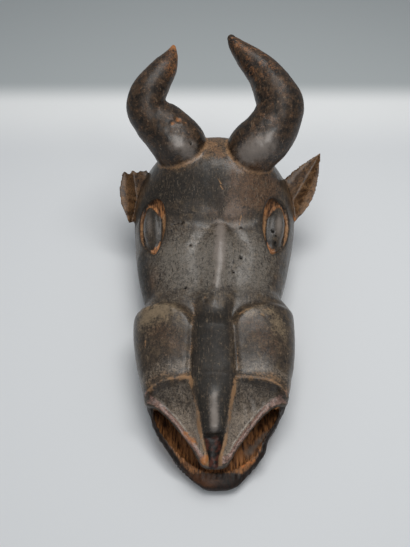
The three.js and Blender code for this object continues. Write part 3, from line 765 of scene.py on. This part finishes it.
def soft_edges(p):
    """How much each corner's surroundings are smoothed, and how much more at the brow."""
    x, y, z = p.T
    under = surface_facts(p)["top"] - z
    near_skin, off = bell(under, 9), np.abs(x - read(NOSE, MIDDLE, y))
    marks = [
        near_skin * bell(y - step_y(off), 15) * ease((78 - off) / 30),
        near_skin * bell(y - 206, 24) * bell(off, 36),
        near_skin * bell(off, 14) * ease((y - 212) / 20) * ease((350 - y) / 10),
        near_skin * bell(y - 335, 14) * bell(x - 8, 26),
        0.4 * ease((12 - y) / 6) * ease((20 - z) / 6) * (z > 0.5),
    ]
    for path, radii in HORNS:
        d, t = horn_distance(p, path, radii)
        marks.append(bell(t - 0.47, 0.1) * (np.abs(d) < 9) * ease((470 - y) / 24))
        marks.append(0.8 * bell(under, 7) * bell(d, 9))
    return np.maximum.reduce(marks), near_skin * bell(y - 320, 34) * bell(off, 60)


def model():
    """The carved mask as one fine surface, in millimetres."""
    target = carve()
    modify(target, "REMESH", mode="VOXEL", voxel_size=CORNER_GAP, adaptivity=0.0,
           use_smooth_shade=True)
    edges = fetch(target.data.edges, "vertices", 2, np.int32)
    p = relax(fetch(target.data.vertices, "co"), edges, weight=0.5, times=3)
    p = relax(p, edges, weight=-0.3, times=2)
    level = p[:, 2]
    soft, brow = soft_edges(p)
    p = relax(p, edges, weight=0.5 * np.maximum(soft, brow)[:, None], times=22)
    p = relax(p, edges, weight=0.5 * brow[:, None], times=40)
    p[:, 2] = np.where(level < RIM_LEVEL, level, p[:, 2])
    move(target, p)
    facts = surface_facts(p)
    p = p + fetch(target.data.vertices, "normal") * carved_marks(p, facts)[:, None]
    move(target, p)
    hidden = np.clip(facts["hollow"] + (p[:, 2] < 3) + 0.5 * (p[:, 1] > 505), 0, 1)
    decimate(target, TRIANGLES / (2 * len(target.data.polygons)), 0.25 + 0.75 * hidden)
    return target


def outline_distance(across, along, inward):
    """Distance to the edge of an eye's recess, in its own plane; below 0 inside it."""
    edge = eye_outline(inward)
    spot = np.stack([across, along], -1)
    away = np.minimum.reduce([line_distance(spot, a, b)
                              for a, b in zip(edge, np.roll(edge, -1, axis=0))])
    middle, half = almond(np.clip(along / EYE_LENGTH + 0.48, 0, 1), inward)
    return np.where(np.abs(across - middle) < half, -away, away)


# The finishes, kept up to four to a colour attribute
FINISHES = {
    "wear": ("tan", "orange", "bloom", "horn"),
    "tone": ("soot", "raw", "lip", "ear"),
    "form": ("crust", "pale", "gloss", "stain"),
    "more": ("grey", "hole", "rim", "olive"),
    "last": ("jaw", "scratch"),
}
# Marks in each finish: from, to, radius and how strong
STROKES = {
    "orange": [
        ((-52, 441, 219), (-50, 441, 219), 5, 0.75), ((-60, 433, 218), (-57, 433, 218), 3.5, 0.65),
        ((-42, 440, 214), (-44, 440, 214), 3.5, 0.5), ((32, 523, 287), (50, 510, 285), 6, 0.55),
        ((68, 500, 277), (82, 488, 270), 5, 0.42), ((92, 484, 264), (98, 474, 250), 5, 0.5),
        ((45, 405, 176), (66, 402, 176), 9, 0.45), ((60, 405, 190), (70, 408, 190), 8, 0.35),
        ((-17, 15, 52), (-12, 22, 55), 5, 0.95), ((-36, 52, 55), (-26, 40, 54), 5, 0.7),
        ((18, 18, 50), (25, 30, 52), 3.5, 0.45), ((125, 388, 73), (122, 392, 78), 3, 0.9),
        ((-122, 386, 73), (-119, 392, 78), 3, 0.9), ((94, 381, 110), (104, 374, 97), 2.2, 0.8),
        ((30, 24, 24), (44, 28, 26), 5, 0.55),
    ],
    "tan": [
        ((61, 411, 210), (66, 411, 210), 6, 0.6), ((30, 190, 104), (45, 196, 105), 3, 0.8),
        ((45, 196, 105), (70, 198, 103), 3, 0.6), ((27, 176, 98), (32, 190, 104), 2.5, 0.8),
        ((33, 172, 98), (42, 190, 103), 1.6, 0.6), ((-94, 203, 92), (-60, 210, 108), 7, 0.45),
        ((-92, 165, 88), (-90, 150, 84), 2, 0.8), ((-15, 217, 108), (-13, 205, 108), 2.5, 0.6),
    ],
    "stain": [
        ((-72, 172, 97), (-52, 150, 94), 22, 0.4), ((44, 180, 104), (68, 150, 92), 24, 0.4),
        ((22, 350, 140), (48, 395, 165), 30, 0.9), ((60, 365, 145), (80, 392, 140), 24, 0.75),
        ((-86, 262, 90), (-97, 232, 70), 18, 0.5), ((88, 262, 90), (96, 240, 75), 14, 0.35),
        ((-5, 440, 178), (8, 415, 178), 7, 0.8),
    ],
    "soot": [
        ((-20, 395, 172), (-8, 402, 176), 8, 0.5),
    ],
    # Painted highlights on the nose ridge, the horn lobes and the nose tip, and a painted sheen
    # inside the mouth's right side
    "grey": [
        ((41, 46, 14), (60, 63, 24), 10, 0.75), ((8, 322, 124), (6, 268, 121), 10, 0.85),
        ((6, 268, 121), (1, 232, 115), 9.5, 0.75), ((-33, 410, 188), (-50, 413, 198), 16, 0.75),
        ((46, 401, 190), (68, 408, 202), 20, 0.88), ((-3, 50, 76), (-3, 82, 90), 6.5, 0.95),
    ],
    "olive": [
        ((-92, 192, 94), (-66, 196, 106), 17, 0.85), ((-60, 188, 105), (-44, 184, 105), 12, 0.35),
        ((40, 192, 106), (72, 196, 103), 9, 0.6), ((76, 182, 98), (84, 172, 92), 12, 0.65),
    ],
}
# Smooth places that shine: from, to, radius, how strong
SHINES = [
    ((-34, 410, 190), (-54, 415, 203), 24, 1), ((48, 403, 196), (68, 409, 207), 27, 1),
    ((-3, 48, 75), (-3, 86, 90), 10, 1), ((0, 225, 114), (8, 322, 124), 20, 0.2),
    ((-92, 338, 100), (-90, 355, 105), 12, 0.8), ((90, 345, 100), (90, 365, 105), 12, 0.9),
    ((-70, 292, 105), (70, 292, 105), 30, 0.45), ((42, 55, 30), (58, 66, 34), 13, 0.9),
]


def lay(cover, key, amount):
    """A finish is laid where it is stronger than what is there of it."""
    cover[key] = np.maximum(cover[key], amount)


def horn_finish(p, facts, cover):
    """The horns, the wear on their tips and the rubbed groove round their roots."""
    x, z, top = p[:, 0], p[:, 2], facts["top"]
    near = np.full(len(p), 1e9)
    for side, (path, radii) in zip((-1, 1), HORNS):
        d, t = horn_distance(p, path, radii)
        near = np.minimum(near, d)
        on = ease((4 - d) / 3) * ease((z - top - 2) / 5)
        lay(cover, "horn", on)
        if side < 0:
            inner = ease((x - np.interp(t, (0.5, 0.75, 1), (-92, -74, -66)) + 8) / 16)
            tip = 0.52 * ease((t - 0.9) / 0.06) + 0.44 * ease((t - 0.62) / 0.15) * inner
        else:
            tip = 0.34 * ease((t - 0.55) / 0.1) * ease((0.97 - t) / 0.04)
        lay(cover, "orange", on * np.clip(tip, 0, 0.7))
    near = near + 0.9 * grain(p, 8, 33)
    rubbed = np.maximum(0.7 * bell(near - 1, 3.2), 0.34 * bell(near - 5, 8))
    lay(cover, "tan", bell(top - z, 8) * (z > 115) * rubbed)


def ear_finish(p, facts, cover):
    x, y, z = p.T
    outside = ease((np.abs(x) - half_width(facts["u"], y) + 1) / 5)
    outside = np.maximum(outside, ease((z - facts["top"] - 3) / 4)) * (1 - cover["horn"])
    for side, root, tip, _, _ in EARS:
        root, along, across, face, _ = ear_frame(root, tip)
        q = p * (side, 1, 1) - root
        a, s, k = q @ along, q @ across, q @ face
        leaf = (a > -32) * (np.abs(s) < 38) * (k > -26) * (k < 14) * outside
        lay(cover, "ear", leaf)
        lay(cover, "tan", leaf * (0.35 * bell(a - 6, 10) + 0.2 * ease((k + 2) / 3)))


def eye_finish(p, _, cover):
    """Rubbed rims, painted shade in the hollows under them, smoother eyeballs with a painted
    highlight.
    """
    for ex, ey in EYES:
        inward = -math.copysign(1, ex)
        here, across, along, out = eye_frame(ex, ey)
        q = p - here
        s, a, k = q @ across, q @ along, q @ out
        close = (np.abs(s) < 50) & (np.abs(a) < 60) & (k > -14) & (k < 14)
        away = outline_distance(s, a, inward)
        ball = (((s + inward * BALL_PLACE[0]) / BALL[0]) ** 2
                + ((a - BALL_PLACE[1]) / BALL[1]) ** 2 + ((k + EYE_DEPTH) / BALL[2]) ** 2)
        on_ball = close * ease((1.3 - ball) / 0.2)
        inside = close * ease((1 - away) / 2) * (1 - on_ball)
        # Painted shade under the rims' upper part and in the groove round the ball
        under = np.maximum(bell(away + 0.4, 1.3) * ease((a + 10) / 30), 1.1 * bell(ball - 1.26, 0.2))
        ends = np.maximum(bell(a + 34, 9), 0.5 * bell(a - 36, 7))
        lay(cover, "rim", inside * np.clip(0.9 - 0.6 * under, 0, 1))
        lay(cover, "orange", inside * 0.5 * ends)
        lay(cover, "hole", np.clip(inside * 0.85 * under, 0, 0.9))
        # A darker ring just outside the recess's edge
        lay(cover, "soot", close * 0.5 * bell(away - 2, 2.5))
        # The eyeball's dark tone, darker towards one side as painted shade beside its painted
        # highlight
        lay(cover, "soot", on_ball * (0.27 + 0.38 * ease((inward * s + 3) / 12)))
        lay(cover, "gloss", 0.6 * on_ball)
        # A painted highlight on each eyeball, brighter on the right eye
        wear_and_highlight = 0.85 if ex > 0 else 0.6
        lay(cover, "grey", wear_and_highlight * on_ball * bell(s + inward, 7) * bell(a - 8, 20))
        cover["bloom"] *= 1 - 0.8 * inside


def muzzle_finish(p, facts, cover):
    """Rubbed edges, the dark nose, and painted highlights along the lip and in the nostril scoops.
    """
    x, y, _ = p.T
    on_skin = facts["skin"]
    wobble = 1.2 * grain(p, 9, 31)
    off = np.abs(x - read(NOSE, MIDDLE, y)) + 0.5 * wobble
    half, across = read(NOSE, HALF, y), x - NOSE_SHIFT
    beside = ease((off - half + 2) / 3)
    crest = y - facts["crest"] + wobble
    wear_and_highlight = [
        np.maximum(0.95 * bell(crest, 2.8), 0.6 * bell(crest - 5, 8.5)) * beside,
        0.95 * bell(off - half - 0.6, 2.8) * ease((CREST_Y + 3 - y) / 6) * (y > SKIN_FRONT),
        0.75 * bell(across - half - 4.5, 1.4) * ease((y - 98) / 8) * ease((160 - y) / 14),
        0.5 * bell(across + half + 2, 3.5) * ease((y - 108) / 8) * ease((225 - y) / 20),
        0.34 * bell(y - step_y(off) + 4, 10) * (off > half + 1),
        0.3 * bell(y - 190, 22) * ease((off - 34) / 26),
    ]
    broken = np.clip(0.8 + 0.5 * grain(p, 13, 35), 0.3, 1.1)
    lay(cover, "tan", np.maximum.reduce(wear_and_highlight) * broken * on_skin)
    nose = on_skin * ease((np.minimum(half, 22) - 1 - off) / 3) * ease((213 + 4 * wobble - y) / 30)
    lay(cover, "crust", nose * ease((NOSE_TIP_Y - y) / 5))
    lay(cover, "soot", 0.9 * nose)
    above = y - lip_y(facts["u"]) + 0.6 * wobble
    # A painted highlight band along the lip's rolled edge
    lay(cover, "lip", on_skin * ease(above / 2) * ease((12 - above) / 5) * beside * 0.85)
    scoop = on_skin * beside * ease((-crest - 2) / 5) * ease((above - 6) / 5)
    # Painted highlight in the nostril scoops, growing towards the lip where the scoop turns up
    lay(cover, "pale", scoop * (0.35 + 0.65 * ease((88 - y) / 34)))
    # A painted highlight band on the pad just above the crest
    lay(cover, "pale", 0.35 * on_skin * bell(crest - 15, 11) * beside)
    # Painted shade under the crest's edge
    lay(cover, "soot", 0.46 * scoop * bell(crest + 9, 10))


def head_finish(p, facts, cover):
    """An ashen, waxy face with painted sheen, a dark forehead, painted shade on the sides, wear
    behind it.
    """
    x, y, z = p.T
    off = np.abs(facts["u"])
    over = facts["skin"] * (1 - cover["horn"])
    aside = np.abs(x - 8) + 2 * grain(p, 12, 43)
    brow = 330 + 17 * (1 - np.exp(-np.maximum(aside, 0) / 16)) + 0.1 * aside
    high = ease((y - brow) / 16) * ease((425 - y) / 40)
    sides = ease((off - 0.8) / 0.12) * ease((y - 218) / 14) * ease((322 - y) / 16)
    # A greyish waxy patina with a painted sheen in its colour, strongest in the face's middle
    bloom = over * bell(y - 272, 50) * (0.35 + 0.5 * ease((84 - np.abs(x)) / 30))
    cover["bloom"] = bloom * (1 - 0.75 * high) * (1 - 0.7 * sides)
    # Painted shade on the face's outer sides in front of the eyes, where they turn away from the
    # light, more of it on the left
    shaded_sides = (0.35 + 0.3 * (x < 0)) * sides
    # The head's lower outer sides, under the waist, get the same painted shade
    low = ease((np.abs(x) / half_width(x, y) - 0.9) / 0.03) * ease((z - 6) / 34)
    low *= (z < waist_height(y)) * (1 - facts["hollow"])
    # The forehead's dark patina, darker left of the middle, and the painted shade on the sides
    lay(cover, "soot", over * np.maximum(high * (0.27 + 0.36 * ease((36 - x) / 34)), shaded_sides))
    lay(cover, "soot", low * shaded_sides)
    # A darker band along the brow hollow
    lay(cover, "soot", 0.42 * over * bell(y - 340, 8) * bell(x - 8, 46))
    lay(cover, "tan", over * 0.48 * ease((y - 396) / 20) * bell(x + 3, 40))
    by_ear = over * bell(off - 0.95, 0.13) * ease((y - 384) / 16) * ease((480 - y) / 20)
    lay(cover, "tan", 0.5 * by_ear)
    cover["soot"] *= 1 - by_ear
    cover["scratch"] = over * ease((420 - y) / 30) * ease((y - 255) / 60) * (0.5 + 0.5 * high)


def mouth_finish(p, facts, cover):
    """Bare wood inside, and the lower jaw's dark rim."""
    x, y, z = p.T
    inside = jaw_half(facts["u"], y) - np.abs(x)
    rim = ((y < 100) & (z < facts["top"] - 6) & (z < rim_height(y) + 3)).astype(float)
    slope = 5.7 * np.maximum(y, 0.3) ** -0.598
    deep = ease((inside / np.hypot(1, slope) - 5) / 2) * ease((y - 15) / 2)
    bare = rim * deep * (z > 2) + (1 - rim) * facts["mouth"] + facts["hollow"] + (z < 2)
    cover["raw"] = np.clip(bare, 0, 1)
    outer = rim * (1 - deep) * (1 - facts["hollow"])
    cover["jaw"] = outer * 0.95
    cover["stain"] = 0.8 * outer * bell(x + 16, 24) * ease((z - 11) / 6)
    for key in ("tan", "bloom", "soot", "lip", "pale", "crust"):
        cover[key] *= 1 - cover["raw"]


def finishes(p):
    """How much of each finish lies on each corner, from 0 to 1."""
    facts = surface_facts(p)
    cover = {key: np.zeros(len(p)) for keys in FINISHES.values() for key in keys}
    for part in (horn_finish, ear_finish, head_finish, muzzle_finish, eye_finish, mouth_finish):
        part(p, facts, cover)
    ragged = grain(p, 5, 41)
    for key, strokes in STROKES.items():
        for start, end, radius, amount in strokes:
            away = line_distance(p, start, end) + 0.25 * radius * ragged
            lay(cover, key, amount * bell(away, radius))
    for start, end, radius, amount in SHINES:
        lay(cover, "gloss", amount * bell(line_distance(p, start, end), radius))
    lay(cover, "gloss", 0.5 * cover["lip"])
    for centre, radius, depth in PITS:
        if depth > 2.2:
            lay(cover, "hole", np.exp(-(pit_distance(p, centre) / (radius + 0.3)) ** 4))
    for start, end, width, depth in CRACKS:
        key = "hole" if depth > 1 else "tan"
        lay(cover, key, 0.9 * bell(line_distance(p, start, end), width))
    return cover


def paint(target):
    """Writes the finishes as colour attributes that the wood's material reads."""
    cover = finishes(fetch(target.data.vertices, "co"))
    for name, keys in FINISHES.items():
        made = target.data.attributes.new(name, "FLOAT_COLOR", "POINT")
        values = np.zeros((len(made.data), 4), np.float32)
        for column, key in enumerate(keys):
            values[:, column] = np.clip(cover[key], 0, 1)
        made.data.foreach_set("color", values.ravel())


def settle(target):
    """Puts the mask in the part's place, in metres and inside the part's box."""
    corners = (fetch(target.data.vertices, "co") + SHIFT) * METRES
    move(target, np.clip(corners, cad_low, cad_high))
    target.data.polygons.foreach_set("use_smooth", [True] * len(target.data.polygons))
    target.data.update()


def linear(r, g, b):
    """A colour as the screen shows it, from 0 to 255, as light."""
    return tuple(((c / 255 + 0.055) / 1.055) ** 2.4 if c > 10 else c / 3294.6
                 for c in (r, g, b)) + (1.0,)


class Tree:
    """Short ways to add nodes to a material."""

    def __init__(self, name):
        self.material = bpy.data.materials.new(name)
        self.material.use_nodes = True
        self.nodes, self.links = self.material.node_tree.nodes, self.material.node_tree.links
        self.nodes.clear()

    def add(self, kind, inputs=(), **settings):
        node = self.nodes.new("ShaderNode" + kind)
        for key, value in settings.items():
            setattr(node, key, value)
        for key, value in dict(inputs).items():
            if isinstance(value, bpy.types.NodeSocket):
                self.links.new(value, node.inputs[key])
            else:
                node.inputs[key].default_value = value
        return node

    def position(self):
        return self.add("TexCoord").outputs["Object"]

    def turned(self, at, **changes):
        """at with a Location, Rotation or Scale."""
        return self.add("Mapping", {"Vector": at, **changes}).outputs["Vector"]

    def noise(self, at, scale, detail=4.0, rough=0.6, warp=0.0):
        made = self.add("TexNoise", {"Vector": at, "Scale": scale, "Detail": detail,
                                               "Roughness": rough, "Distortion": warp})
        return made.outputs["Fac"]

    def maths(self, operation, *values):
        return self.add("Math", enumerate(values), operation=operation).outputs[0]

    def times(self, a, b):
        return self.maths("MULTIPLY", a, b)

    def most(self, a, b):
        return self.maths("MAXIMUM", a, b)

    def total(self, start, *parts):
        """start with parts added to it, each a value and how many times it counts."""
        for value, times in parts:
            start = self.maths("MULTIPLY_ADD", value, times, start)
        return start

    def between(self, value, low, high, to_low=0.0, to_high=1.0):
        """value from low to high, mapped smoothly onto to_low to to_high."""
        made = self.add("MapRange", {"Value": value, "From Min": low, "From Max": high,
                                               "To Min": to_low, "To Max": to_high},
                        interpolation_type="SMOOTHSTEP")
        return made.outputs["Result"]

    def blend(self, share, *colours):
        """The first colour where share is 0, the second where it is 1."""
        under, over = (c if isinstance(c, bpy.types.NodeSocket) else linear(*c) for c in colours)
        return self.add("Mix", {0: share, 6: under, 7: over},
                        data_type="RGBA").outputs[2]

    def shade(self, inputs):
        """The finished material, from its shader's inputs."""
        shader = self.add("BsdfPrincipled", inputs)
        self.add("OutputMaterial", {"Surface": shader.outputs["BSDF"]})
        return self.material


def read_finishes(t):
    cover = {}
    for name, keys in FINISHES.items():
        made = t.add("Attribute", attribute_name=name)
        split = t.add("SeparateColor", {"Color": made.outputs["Color"]})
        cover.update(zip(keys, [*split.outputs, made.outputs["Alpha"]]))
    return cover


def worm_holes(t, at, holes):
    """Adds the small round holes to where it is dark already."""
    flat = t.turned(at, Scale=PIT_SHAPE)
    for spot, radius in WORM_HOLES:
        centre = tuple((np.array(spot) + SHIFT) * METRES * PIT_SHAPE)
        away = t.add("VectorMath", {0: flat, 1: centre}, operation="DISTANCE")
        inner, outer = 0.55 * radius * METRES, 0.85 * radius * METRES
        holes = t.most(holes, t.between(away.outputs["Value"], inner, outer, 1, 0))
    return holes


def wood():
    """The dark patina, its wear and the bare wood under it, and how each shines."""
    t = Tree("carved_wood")
    at, cover = t.position(), read_finishes(t)
    broad, pebbly = t.noise(at, 26, 4, 0.6), t.noise(at, 250, 4, 0.7)
    patchy = t.noise(at, 90, 5, 0.65, 0.3)
    other = t.noise(t.turned(at, Location=(3.1, 1.7, 5.3)), 120, 5, 0.65)
    speck, fine = t.noise(at, 420, 3, 0.65), t.noise(at, 900, 2, 0.6)
    fibre = t.noise(t.turned(at, Scale=(1.0, 0.1, 0.35)), 420, 3, 0.65)
    slant = t.turned(at, Rotation=(0.4, 0.3, 0.9), Scale=(1.0, 0.12, 1.0))
    hair = t.turned(at, Rotation=(0.2, 0.1, 0.25), Scale=(1.0, 0.09, 0.3))
    steep = t.turned(at, Rotation=(0.1, -0.2, -0.8), Scale=(1.0, 0.14, 0.6))
    marks = t.total(-0.85, (other, 0.8), (speck, 0.9))

    def patch(key, low, high, strength=1.0, rag=1.0):
        """Where a finish lies, with ragged edges."""
        return t.between(t.total(cover[key], (marks, rag)), low, high, 0, strength)

    horn = t.blend(t.between(patchy, 0.4, 0.62), (30, 22, 16), (78, 58, 40))
    horn = t.blend(t.between(other, 0.52, 0.66, 0, 0.6), horn, (112, 76, 48))
    ear = t.blend(t.between(patchy, 0.38, 0.6), (84, 58, 36), (142, 106, 72))
    rim = t.blend(t.between(patchy, 0.4, 0.6), (120, 82, 50), (168, 126, 86))
    crust = t.blend(t.between(patchy, 0.48, 0.62), (12, 7, 5), (76, 34, 20))
    raw = t.blend(t.between(fibre, 0.35, 0.62), (66, 38, 22), (194, 134, 84))
    raw = t.blend(t.between(broad, 0.42, 0.68, 0, 0.55), raw, (74, 54, 40))
    jaw = t.blend(t.between(fibre, 0.4, 0.6), (14, 6, 3), (38, 19, 10))
    jaw = t.blend(patch("stain", 0.2, 0.9, 0.8), jaw, (98, 60, 33))
    scratch = t.noise(slant, 520, 2, 0.5)
    flecks = t.between(t.total(scratch, (other, 0.4)), 0.82, 0.94, 0, 0.4)
    dark = t.times(t.between(pebbly, 0.4, 0.53, 1, 0), t.between(broad, 0.38, 0.62, 0.2, 0.6))
    lines = t.times(cover["scratch"], t.between(other, 0.4, 0.62, 0.05, 0.5))
    lines = t.times(t.between(t.noise(hair, 620, 2, 0.5), 0.6, 0.72), lines)
    nicks = t.total(t.noise(steep, 430, 2, 0.5), (other, 0.5))
    # Worm holes, pits and cracks, and the painted shade in the eyes' hollows
    holes = worm_holes(t, at, cover["hole"])

    colour = t.blend(t.between(broad, 0.35, 0.65), (46, 39, 32), (72, 60, 48))
    # Each layer lies over the ones before it: how much of it, and its colour
    layers_over = [
        (t.between(patchy, 0.45, 0.7, 0, 0.7), (102, 84, 62)),
        (cover["horn"], horn),
        (cover["ear"], ear),
        (patch("stain", 0.15, 0.7, 0.8), (108, 78, 54)),
        # The face's greyish waxy patina, with a painted sheen in its colour
        (patch("bloom", 0.1, 0.7, 0.85), (122, 115, 106)),
        # Dark patina, and painted shade on the face's sides, under the nostril crests and round the
        # eyes
        (patch("soot", 0.2, 0.65, 0.88), (34, 31, 27)),
        # Painted highlights in the nostril scoops and on the pads above their crests
        (patch("pale", 0.1, 0.7, 0.85), (156, 142, 127)),
        # A painted highlight band along the lip
        (patch("lip", 0.2, 0.65, 0.9), (156, 122, 110)),
        (t.between(fibre, 0.52, 0.72, 0, 0.3), (118, 98, 78)),
        (flecks, (146, 126, 102)),
        (dark, (32, 27, 23)),
        (t.between(pebbly, 0.6, 0.7, 0, 0.2), (150, 138, 122)),
        (t.between(fine, 0.4, 0.53, 0.4, 0), (26, 22, 19)),
        (lines, (150, 134, 116)),
        (t.between(nicks, 0.86, 0.95, 0, 0.75), (22, 19, 17)),
        (t.between(speck, 0.32, 0.42, 0.75, 0), (24, 19, 16)),
        (patch("tan", 0.28, 0.85, 0.9), (158, 122, 88)),
        (patch("olive", 0.1, 1.0, 0.85, 1.6), (136, 118, 94)),
        (patch("rim", 0.2, 0.8, 0.9), rim),
        (patch("orange", 0.3, 0.85, 0.95), (172, 112, 64)),
        (cover["raw"], raw),
        (cover["jaw"], jaw),
        (t.times(cover["raw"], patch("orange", 0.3, 0.85)), (190, 112, 56)),
        # Painted highlights on the horn lobes, the nose and the eyeballs, and a painted sheen in the
        # mouth
        (patch("grey", 0.15, 0.9, 0.9, 0.5), (130, 120, 112)),
        (patch("crust", 0.25, 0.6, 0.95), crust),
        # Near black in holes and cracks, and as painted shade in the eyes' hollows
        (holes, (10, 7, 6)),
    ]
    for share, over in layers_over:
        colour = t.blend(share, colour, over)

    sooted_and_shaded = patch("soot", 0.2, 0.65)
    dull = t.most(t.most(patch("tan", 0.3, 0.8), patch("orange", 0.3, 0.8)), cover["raw"])
    matt = t.most(t.most(dull, t.times(sooted_and_shaded, 0.75)), t.times(cover["horn"], 0.6))
    rough = t.total(t.between(patchy, 0.3, 0.7, 0.32, 0.5), (dull, 0.2), (sooted_and_shaded, 0.2),
                    (cover["horn"], 0.06), (cover["gloss"], -0.15), (cover["crust"], -0.22),
                    (holes, 0.4), (cover["jaw"], 0.08))
    polished = t.times(cover["gloss"], t.total(1.0, (sooted_and_shaded, -0.4)))
    coat = t.most(polished, t.total(0.4, (matt, -0.4)))
    coat = t.times(coat, t.total(1.0, (t.most(holes, cover["jaw"]), -1.0)))
    relief = t.total(0.0, (patchy, 0.5), (speck, 0.2), (fine, 0.05), (fibre, 0.1), (flecks, -0.1))
    bump = t.add("Bump", {"Height": relief, "Strength": 0.75, "Distance": 0.0016})
    return t.shade({"Base Color": colour, "Roughness": rough, "Normal": bump.outputs["Normal"],
                    "IOR": 1.5, "Specular IOR Level": 0.22,
                    "Coat Weight": coat, "Coat Roughness": 0.27})


def backdrop():
    """A pale floor, painted lighter in a band some way behind the mask, with painted shade beyond
    it.
    """
    corners = [(x * FLOOR_HALF, y * FLOOR_HALF, 0) for x, y in ((-1, -1), (1, -1), (1, 1), (-1, 1))]
    mesh = bpy.data.meshes.new("backdrop")
    mesh.from_pydata(corners, [], [(0, 1, 2, 3)])
    t = Tree("backdrop")
    back = t.add("SeparateXYZ", {"Vector": t.position()}).outputs["Y"]
    # A painted band of light some way behind the mask
    colour = t.blend(t.between(back, 0.36, 0.54), (230, 233, 236), (250, 252, 253))
    # Painted shade further back
    colour = t.blend(t.between(back, 0.54, 0.63), colour, (184, 190, 192))
    mesh.materials.append(t.shade({"Base Color": colour, "Roughness": 0.8,
                                   "Specular IOR Level": 0.1}))
    made = linked("backdrop", mesh)


def lamp(name, at, towards, size, watts, lights=True):
    """A rectangle of light; without lights it is seen only as gloss."""
    light = bpy.data.lights.new(name, "AREA")
    light.shape, light.energy, light.color = "RECTANGLE", watts, LAMP_COLOUR
    light.size, light.size_y = size
    made = linked(name, light)
    made.location = at
    made.rotation_euler = (Vector(towards) - Vector(at)).to_track_quat("-Z", "Y").to_euler()
    made.visible_diffuse = lights


def studio():
    backdrop()
    lamp("overhead", (0.3, 0.39, 1.63), (0, -0.31, 0.28), (1.2, 0.39), 6.7)
    lamp("key", (0.06, 0.1, 1.35), (0, 0, 0.1), (0.75, 0.75), 6.2)
    lamp("right", (0.5, -0.75, 1.2), (0, 0.1, 0.15), (0.28, 0.28), 0.6)
    lamp("left", (-0.45, -0.95, 1.15), (0, 0.1, 0.15), (0.28, 0.28), 0.6)
    lamp("sheen", (0.2, -1.15, 1.2), (0, 0.05, 0.15), (0.9, 0.9), 9.0, lights=False)
    scene = bpy.context.scene
    scene.world = bpy.data.worlds.new("room")
    scene.world.use_nodes = True
    room = scene.world.node_tree.nodes["Background"].inputs
    room["Color"].default_value, room["Strength"].default_value = ROOM_COLOUR, 0.3
    scene.view_settings.view_transform = "Standard"
    camera = bpy.data.cameras.new("camera")
    camera.lens, camera.sensor_width, camera.sensor_fit = LENS, 36.0, "AUTO"
    camera.clip_start, camera.clip_end = 0.01, 20.0
    scene.camera = linked("camera", camera)
    scene.camera.location = CAMERA_AT
    scene.camera.rotation_euler = (math.radians(CAMERA_TILT), 0.0, 0.0)


mask = model()
mask.name = mask.data.name = "carved_mask"
paint(mask)
settle(mask)
mask.data.materials.clear()
mask.data.materials.append(wood())
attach(mask, "root")
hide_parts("mask")
studio()
